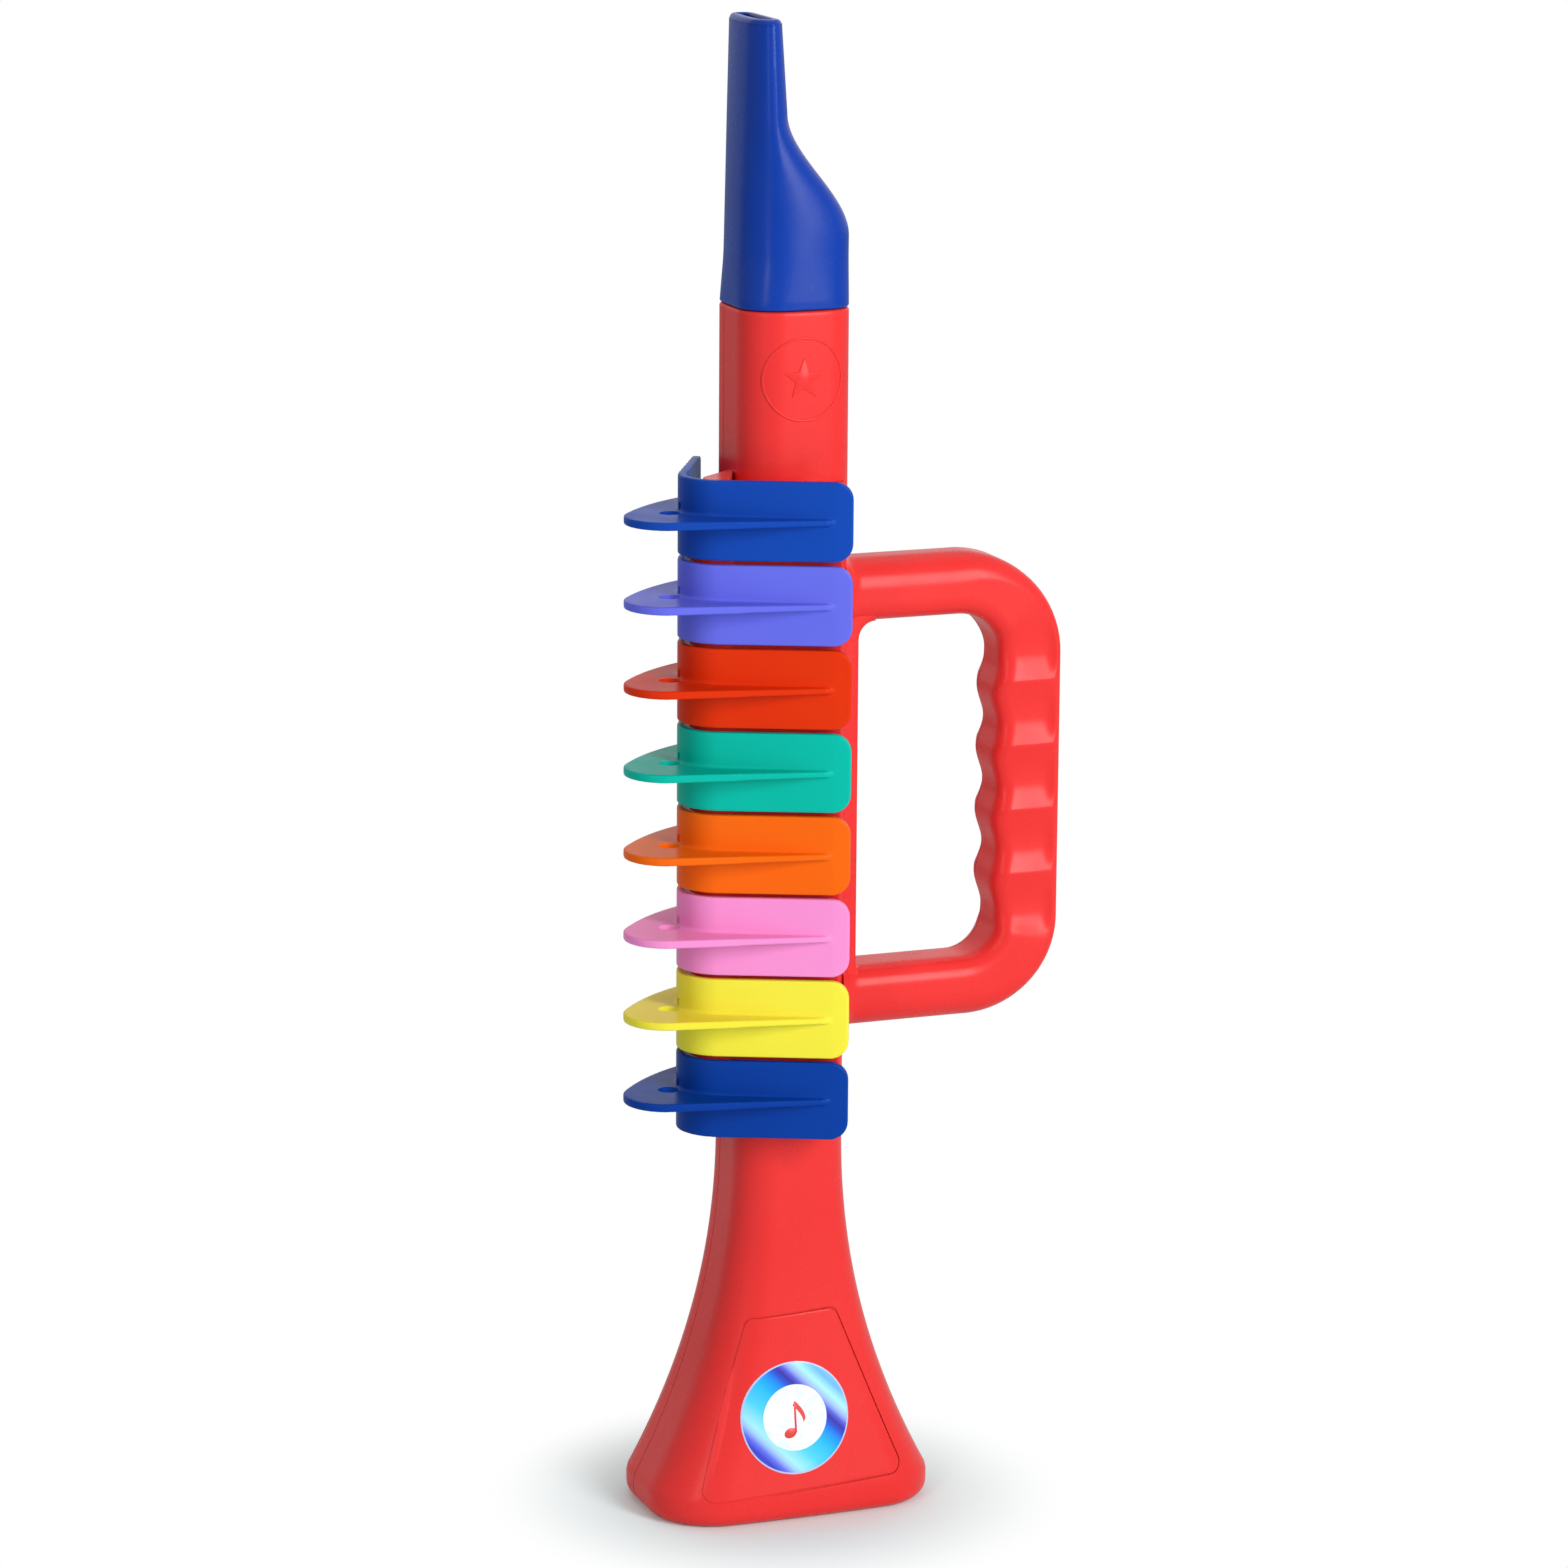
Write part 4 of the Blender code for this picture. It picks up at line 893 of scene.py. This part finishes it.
LUG_THICKNESS = 2.4 * MM
LUG_INSET = 0.4 * MM
LUG_DISC_RADIUS = 8.7 * MM
LUG_EDGE = 0.4 * MM
CHEST_EDGE_Y = 0.3 * MM
CHEST_EDGE_ANGLE = math.radians(219.6)
CHEST_CORNER = 3.0 * MM
CHEST_TAIL_CORNER = 1.0 * MM
CHEST_TAIL_SHORT = 2.5 * MM
CHEST_ROOT_ANGLE = math.radians(-40.0)
CHEST_FRONT_IN = PAD_SEAT + PAD_THICKNESS + SEAM
CHEST_EDGE = 0.35 * MM
AIR_HOLE_RADIUS = 4.0 * MM
AIR_HOLE_DEPTH = 8.0 * MM
POCKET_REACH = HUB_RADIUS + 1.6 * MM
SHELF_ALONG = 15.6 * MM
SHELF_DROP = 2.2 * MM
SHELF_DEPTH = 40.0 * MM
CUT_PAST = 2.0 * MM
ROD_HOLE_SHORT = 1.0 * MM


def chest_outline():
    side = Vector((-BODY_HALF_X, CHEST_EDGE_Y))
    heading = Vector((math.cos(CHEST_EDGE_ANGLE), math.sin(CHEST_EDGE_ANGLE)))
    face = Vector(along_plate(0, CHEST_FRONT_IN))
    inward = Vector((-math.sin(PLATE_ANGLE), math.cos(PLATE_ANGLE)))
    meet = side + heading * ((face - side).dot(inward) / heading.dot(inward))
    tail = along_plate(PLATE_LENGTH - CHEST_TAIL_SHORT, CHEST_FRONT_IN)
    middle_x = BODY_HALF_X - BODY_CORNER
    middle_y = BODY_CORNER - BODY_HALF_Y
    deep = BODY_CORNER - WALL / 2
    inside = arc(middle_x, middle_y, deep, CHEST_ROOT_ANGLE, -QUARTER, 6)
    inside += arc(-middle_x, middle_y, deep, -QUARTER, -math.pi, 8)
    start = side - heading * (WALL / 2)
    return rounded_polygon([(*start, 0), (*meet, CHEST_CORNER), (*tail, CHEST_TAIL_CORNER)]
                           + [(*p, 0) for p in inside], 6)


chest_low = KEY_TOP_Z - KEY_PITCH * (KEY_COUNT - 1) - KEY_HEIGHT + LUG_INSET
chest_high = KEY_TOP_Z - LUG_INSET
# middle z of each lug, from the top down
lugs = [chest_high - LUG_THICKNESS / 2]
lugs += [KEY_TOP_Z + (KEY_PITCH - KEY_HEIGHT) / 2 - KEY_PITCH * k for k in range(1, KEY_COUNT)]
lugs.append(chest_low + LUG_THICKNESS / 2)
bm = bmesh.new()
prism(bm, chest_outline(), chest_low, chest_high, from_bore)
chest = piece("valve_chest", bm, red_abs, 30)
bm = bmesh.new()
pocket = plate_box(-KEY_ROUND, HINGE_ALONG + POCKET_REACH, -KEY_WALL, HINGE_IN + POCKET_REACH - SEAM)
for upper, lower in zip(lugs, lugs[1:]):
    prism(bm, pocket, lower + LUG_THICKNESS / 2, upper - LUG_THICKNESS / 2, from_bore)
for index in range(KEY_COUNT):
    prism(bm, circle(0, 0, AIR_HOLE_RADIUS, 32), CHEST_FRONT_IN - CUT_PAST, CHEST_FRONT_IN + AIR_HOLE_DEPTH,
          pad_place(index))
prism(bm, circle(*HINGE, ROD_RADIUS + SEAM, 24), chest_low - CUT_PAST, chest_high - ROD_HOLE_SHORT, from_bore)
prism(bm, plate_box(SHELF_ALONG, PLATE_LENGTH, -KEY_WALL, SHELF_DEPTH), chest_high - SHELF_DROP,
      chest_high + CUT_PAST, from_bore)
cut_away(chest, bm)
soft = chest.modifiers.new("soft_edges", "BEVEL")
soft.width = CHEST_EDGE
soft.segments = 3
soft.limit_method = "ANGLE"
soft.angle_limit = math.radians(50)
applied(chest)
chest.data.shade_smooth()
chest.data.set_sharp_from_angle(angle=math.radians(40))
at_rest(even_shading(chest), "root", "red_body")

bm = bmesh.new()
for middle in lugs[1:]:
    cushion(bm, circle(*BEND_MIDDLE, LUG_DISC_RADIUS, 48), middle - LUG_THICKNESS / 2,
            middle + LUG_THICKNESS / 2, LUG_EDGE, from_bore)
at_rest(even_shading(piece("lug_rounds", bm, red_abs, 60)), "root", "red_body")


# Rod and springs
# The keys turn on one drawn steel rod. A coil spring of music wire sits on it above each hub and
# turns its key shut. Drawing leaves fine bright lines along the steel.

ROD_SHORT = 1.3 * MM
ROD_EDGE = 0.3 * MM
SPRING_CLEARANCE = 0.65 * MM
SPRING_WIRE = 0.35 * MM
SPRING_HEIGHT = 2.4 * MM
SPRING_LIFT = 0.7 * MM
SPRING_TURNS = 3.0
# the lines that drawing leaves are finer than this, and are drawn coarser so that they show
STEEL_LINES = 0.4 * MM

steel = fine_grained("drawn_steel", "#B9BCC0", STEEL_LINES, (0.2, 0.42), drawn=0.05, metal=1.0)
bm = bmesh.new()
cushion(bm, circle(*HINGE, ROD_RADIUS, 32), chest_low + SEAM, chest_high - ROD_SHORT, ROD_EDGE, from_bore)
at_rest(piece("key_rod", bm, steel, 40), "root", "steel", "key_hinge_rod")


def spring_tree(sizes):
    """One coil, set on a ladder of points down the rod; also gives the inputs' identifiers."""
    tree = bpy.data.node_groups.new("return_springs", "GeometryNodeTree")
    tree.interface.new_socket("Geometry", in_out="OUTPUT", socket_type="NodeSocketGeometry")
    known = [tree.interface.new_socket(name, in_out="INPUT", socket_type="NodeSocket" + kind).identifier
             for name, kind, value in sizes]
    given = tree.nodes.new("NodeGroupInput").outputs
    coil = add(tree, "GeometryNodeCurveSpiral", [("Resolution", 24)],
               [("Rotations", given["Turns"]), ("Start Radius", given["Coil Radius"]),
                ("End Radius", given["Coil Radius"]), ("Height", given["Coil Height"])])
    wire = add(tree, "GeometryNodeCurvePrimitiveCircle", [("Resolution", 10)],
               [("Radius", given["Wire Radius"])])
    tube = add(tree, "GeometryNodeCurveToMesh", [("Fill Caps", True)],
               [("Curve", coil), ("Profile Curve", wire)])
    down = add(tree, "ShaderNodeMath", [(1, -1.0)], [(0, given["Pitch"])], operation="MULTIPLY")
    offset = add(tree, "ShaderNodeCombineXYZ", [], [("Z", down)])
    ladder = add(tree, "GeometryNodeMeshLine", [],
                 [("Count", given["Count"]), ("Start Location", given["Start"]), ("Offset", offset)])
    copies = add(tree, "GeometryNodeInstanceOnPoints", [], [("Points", ladder), ("Instance", tube)])
    real = add(tree, "GeometryNodeRealizeInstances", [], [("Geometry", copies)])
    dressed = add(tree, "GeometryNodeSetMaterial", [], [("Geometry", real), ("Material", given["Finish"])])
    feed(tree.nodes.new("NodeGroupOutput"), ("Geometry", dressed))
    return tree, known


spring_sizes = (("Coil Radius", "Float", ROD_RADIUS + SPRING_CLEARANCE),
                ("Wire Radius", "Float", SPRING_WIRE),
                ("Coil Height", "Float", SPRING_HEIGHT), ("Turns", "Float", SPRING_TURNS),
                ("Pitch", "Float", KEY_PITCH), ("Count", "Int", KEY_COUNT),
                ("Start", "Vector", from_bore(*HINGE, key_middle(0) + HUB_HEIGHT / 2 + SPRING_LIFT)),
                ("Finish", "Material", steel))
springs = placed("return_springs", bpy.data.meshes.new("return_springs"))
coils = springs.modifiers.new("coils", "NODES")
coils.node_group, known = spring_tree(spring_sizes)
for identifier, (name, kind, value) in zip(known, spring_sizes):
    coils[identifier] = value
applied(springs)
springs.data.shade_smooth()
at_rest(springs, "root", "steel", *["key_spring_%d" % (k + 1) for k in range(KEY_COUNT)])


# Reeds
# Inside the body a moulded white reed plate carries eight reeds of rolled brass strip, which hum
# as the air passes them. They show only up the bell.

PLATE_CLOUD = 2.0 * MM
BRASS_LINES = 0.3 * MM


def repaint(node, finish):
    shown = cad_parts[node]
    shown.data.materials.clear()
    shown.data.materials.append(finish)


repaint("reed_plate", fine_grained("reed_plate_white", "#E6E4DC", PLATE_CLOUD, (0.4, 0.6)))
brass = fine_grained("reed_brass", "#D3A85A", BRASS_LINES, (0.22, 0.4), detail=2.0, drawn=0.08, metal=1.0)
for index in range(KEY_COUNT):
    repaint("reed_%d" % (index + 1), brass)


# Label
# A round sticker of printed foil on the bell's panel: its ring carries painted sheen, slanting bands of blue
# and cyan that stand for its shine in one light, and its pale printed middle carries a plain red note.

DISC_RADIUS = 16.0 * MM
DISC_X = -2.8 * MM
DISC_Z = 29.8 * MM
DISC_THICKNESS = 0.25 * MM
DISC_ROOT = 0.1 * MM
DISC_EDGE = 0.12 * MM
DISC_LEAN = 0.988
DISC_SEAT = PANEL_RISE + 0.02 * MM
MIDDLE_RADIUS = 9.4 * MM
RIM_WIDTH = 0.45 * MM
WISP_SIZE = 6.0 * MM
NOTE_SIZE = 1.9 * MM
NOTE_LEFT = 1.6 * MM
NOTE_DOWN = 4.2 * MM
NOTE_RISE = 0.04 * MM
NOTE_DEPTH = 0.15 * MM
NOTE_EDGE = 0.02 * MM
INK_GRAIN = 1.0 * MM
# painted sheen: slanting bands of colour that stand for the foil ring's shine in one light
FOIL_SHEEN_BANDS = ((0.05, "#3A3FBE"), (0.10, "#606CE2"), (0.155, "#98BEFA"), (0.20, "#9CDCFE"), (0.34, "#4EC6FE"),
              (0.50, "#25B0FC"), (0.60, "#1C8CEE"), (0.665, "#2A50C8"), (0.71, "#3A319E"), (0.75, "#565ACE"),
              (0.80, "#9AB2F4"), (0.86, "#A6E4FE"), (0.94, "#6CB0F6"))


def foil():
    """Printed foil whose ring carries painted sheen: slanting bands of blue and cyan, as its shine lies in
    one light.
    """
    made, tree, shader, place = material("foil_print_and_sheen", ("Roughness", 0.25), ("Specular IOR Level", 0.2))
    local = add(tree, "ShaderNodeVectorMath", [(1, tuple(bell_front(DISC_X, DISC_Z, DISC_SEAT)))],
                [(0, place)], operation="SUBTRACT")
    parts = add(tree, "ShaderNodeSeparateXYZ", [], [("Vector", local)]).outputs
    across = add(tree, "ShaderNodeMath", [], [(0, parts["X"]), (1, parts["Z"])], operation="ADD")
    share = add(tree, "ShaderNodeMapRange", [("From Min", -DISC_RADIUS * math.sqrt(2)),
                ("From Max", DISC_RADIUS * math.sqrt(2))], [("Value", across)])
    # this ramp across X + Z paints the ring's sheen as slanting bands
    ring = add(tree, "ShaderNodeValToRGB", [], [("Fac", share)])
    stops = ring.color_ramp.elements
    stops[0].color = linear("#4450CC")
    stops[1].color = linear("#78B4F8")
    for turn, code in FOIL_SHEEN_BANDS:
        stops.new(turn).color = linear(code)
    reach = add(tree, "ShaderNodeVectorMath", [], [(0, local)], operation="LENGTH")
    cloud = add(tree, "ShaderNodeTexNoise", [("Scale", 1 / WISP_SIZE), ("Detail", 2.0), ("Distortion", 2.5)],
                [("Vector", place)])
    wisp = add(tree, "ShaderNodeMapRange", [("From Min", 0.46), ("From Max", 0.6)], [("Value", cloud)])
    pale = add(tree, "ShaderNodeMix", [("A", linear("#EFEEF8")), ("B", linear("#DCE4F6"))],
               [("Factor", wisp)], data_type="RGBA")
    inside = add(tree, "ShaderNodeMath", [(1, MIDDLE_RADIUS)], [(0, reach)], operation="LESS_THAN")
    colour = add(tree, "ShaderNodeMix", [], [("Factor", inside), ("A", ring), ("B", pale)], data_type="RGBA")
    rim = add(tree, "ShaderNodeMath", [(1, DISC_RADIUS - RIM_WIDTH)], [(0, reach)], operation="GREATER_THAN")
    edged = add(tree, "ShaderNodeMix", [("B", linear("#B9BCDD"))], [("Factor", rim), ("A", colour)],
                data_type="RGBA")
    metal = add(tree, "ShaderNodeMapRange", [("To Min", 0.15), ("To Max", 0.0)], [("Value", inside)])
    feed(shader, ("Base Color", edged), ("Metallic", metal))
    return made


bm = bmesh.new()
disc = [(x, DISC_Z + y * DISC_LEAN) for x, y in circle(DISC_X, 0, DISC_RADIUS, 96)]
cushion(bm, disc, PANEL_RISE - DISC_ROOT, DISC_SEAT + DISC_THICKNESS, DISC_EDGE, bell_front, 3, 8)
at_rest(piece("foil_label", bm, foil(), 50), "root", "foil_label", "label_disc")


def note(bm, x, up, size):
    """A plain quaver: tilted oval head, stem and a curved flag."""
    high = DISC_SEAT + DISC_THICKNESS + NOTE_RISE
    tilt = Matrix.Rotation(math.radians(20), 2)
    head = [tuple(Vector((x, up)) + tilt @ Vector((a, b * 0.72))) for a, b in circle(0, 0, size, 28)]
    stem_x = x + 0.86 * size
    left, right, top = stem_x - 0.16 * size, stem_x + 0.16 * size, up + 4.6 * size
    stem = [(left, up), (right, up), (right, top), (left, top)]
    outer = [(stem_x + 0.1 * size + 1.5 * size * math.sin(t * math.pi / 12), top - 2.6 * size * t / 6)
             for t in range(7)]
    inner = [(px - 0.35 * size - 0.1 * size * (6 - t) / 6, py - 0.55 * size)
             for t, (px, py) in enumerate(outer)]
    for outline in (head, stem, outer + inner[::-1]):
        cushion(bm, outline, high - NOTE_DEPTH, high, NOTE_EDGE, bell_front, 1)


bm = bmesh.new()
note(bm, DISC_X - NOTE_LEFT, DISC_Z - NOTE_DOWN, NOTE_SIZE)
ink = fine_grained("note_ink", "#D8362A", INK_GRAIN, (0.3, 0.45), detail=2.0)
at_rest(piece("label_note", bm, ink, 50), "root", "foil_label")


# Studio
# A plain pale floor, one large soft light from the right front, a fill and a pale surround. The
# camera stands a little above and to the left of the front.

CAMERA_AZIMUTH = math.radians(-21.0)
CAMERA_DEPRESSION = math.radians(12.9)
CAMERA_ROLL = math.radians(0.4)
CAMERA_DISTANCE = 1.61
CAMERA_HEIGHT = 0.576
CAMERA_SIDE = 0.0009
CAMERA_NEAR = 0.05
FOCAL_PIXELS = 5950
IMAGE_PIXELS = 1568
FLOOR_HALF = 6.0
SHADOW_NEAR = 0.03
SHADOW_FAR = 0.085
# name, place, height that it aims at, size and watts of each softbox
SOFTBOXES = (("key_light", (0.59, -1.46, 0.80), 0.22, (0.42, 1.05), 23),
             ("fill_light", (-1.15, -1.05, 0.75), 0.22, (0.22, 1.05), 4.4),
             ("top_light", (0.05, 0.45, 1.7), 0.1, (1.2, 1.0), 3.5))

floor_mesh = bpy.data.meshes.new("floor")
floor_mesh.from_pydata([(x * FLOOR_HALF, y * FLOOR_HALF, 0) for x, y in ((-1, -1), (1, -1), (1, 1), (-1, 1))],
                       [], [(0, 1, 2, 3)])
floor = placed("floor", floor_mesh)
# the paper's pale cyan tint is painted to cancel the red light that the body bounces onto the floor, so its
# shade reads grey; camera rays see this shading and the real shadow only near the bore, and it fades into
# plain white emission between SHADOW_NEAR and SHADOW_FAR
paper, tree, shader, place = material("floor_paper", ("Base Color", linear("#E2F3F3")), ("Roughness", 0.9))
rays = add(tree, "ShaderNodeLightPath").outputs
white = add(tree, "ShaderNodeEmission", [("Color", (1, 1, 1, 1)), ("Strength", 1.0)])
centred = add(tree, "ShaderNodeVectorMath", [(1, tuple(BORE))], [(0, place)], operation="SUBTRACT")
away = add(tree, "ShaderNodeVectorMath", [], [(0, centred)], operation="LENGTH")
far = add(tree, "ShaderNodeMapRange", [("From Min", SHADOW_NEAR), ("From Max", SHADOW_FAR)],
          [("Value", away)], interpolation_type="SMOOTHSTEP")
shown = add(tree, "ShaderNodeMath", [], [(0, rays["Is Camera Ray"]), (1, far)], operation="MULTIPLY")
either = add(tree, "ShaderNodeMixShader", [], [("Fac", shown), (1, shader), (2, white)])
feed(tree.nodes["Material Output"], ("Surface", either))
floor_mesh.materials.append(paper)

world = bpy.data.worlds.new("pale_studio")
world.use_nodes = True
bpy.context.scene.world = world
tree = world.node_tree
rays = add(tree, "ShaderNodeLightPath").outputs
shown = rays["Is Camera Ray"]
for ray in ("Is Glossy Ray", "Is Transmission Ray"):
    shown = add(tree, "ShaderNodeMath", [], [(0, shown), (1, rays[ray])], operation="MAXIMUM")
strength = add(tree, "ShaderNodeMapRange", [("To Min", 0.36), ("To Max", 1.0)], [("Value", shown)])
background = tree.nodes["Background"]
background.inputs["Color"].default_value = (1, 1, 1, 1)
feed(background, ("Strength", strength))

for name, place, aim_z, (wide, high), power in SOFTBOXES:
    data = bpy.data.lights.new(name, "AREA")
    data.shape = "RECTANGLE"
    data.size = wide
    data.size_y = high
    data.energy = power
    light = placed(name, data)
    light.location = place
    light.rotation_euler = (Vector((0, 0, aim_z)) - Vector(place)).to_track_quat("-Z", "Y").to_euler()

lens = bpy.data.cameras.new("camera")
lens.sensor_width = 36
lens.lens = FOCAL_PIXELS / IMAGE_PIXELS * lens.sensor_width
lens.clip_start = CAMERA_NEAR
camera = placed("camera", lens)
across = Vector((math.cos(CAMERA_AZIMUTH), math.sin(CAMERA_AZIMUTH), 0))
away = Vector((-math.sin(CAMERA_AZIMUTH), math.cos(CAMERA_AZIMUTH), 0))
camera.location = BORE + across * CAMERA_SIDE - away * CAMERA_DISTANCE + Vector((0, 0, CAMERA_HEIGHT))
turned = Euler((QUARTER - CAMERA_DEPRESSION, 0, CAMERA_AZIMUTH), "XYZ").to_matrix()
camera.rotation_euler = (turned @ Matrix.Rotation(CAMERA_ROLL, 3, "Z")).to_euler()
bpy.context.scene.camera = camera
bpy.context.scene.view_settings.view_transform = "Standard"
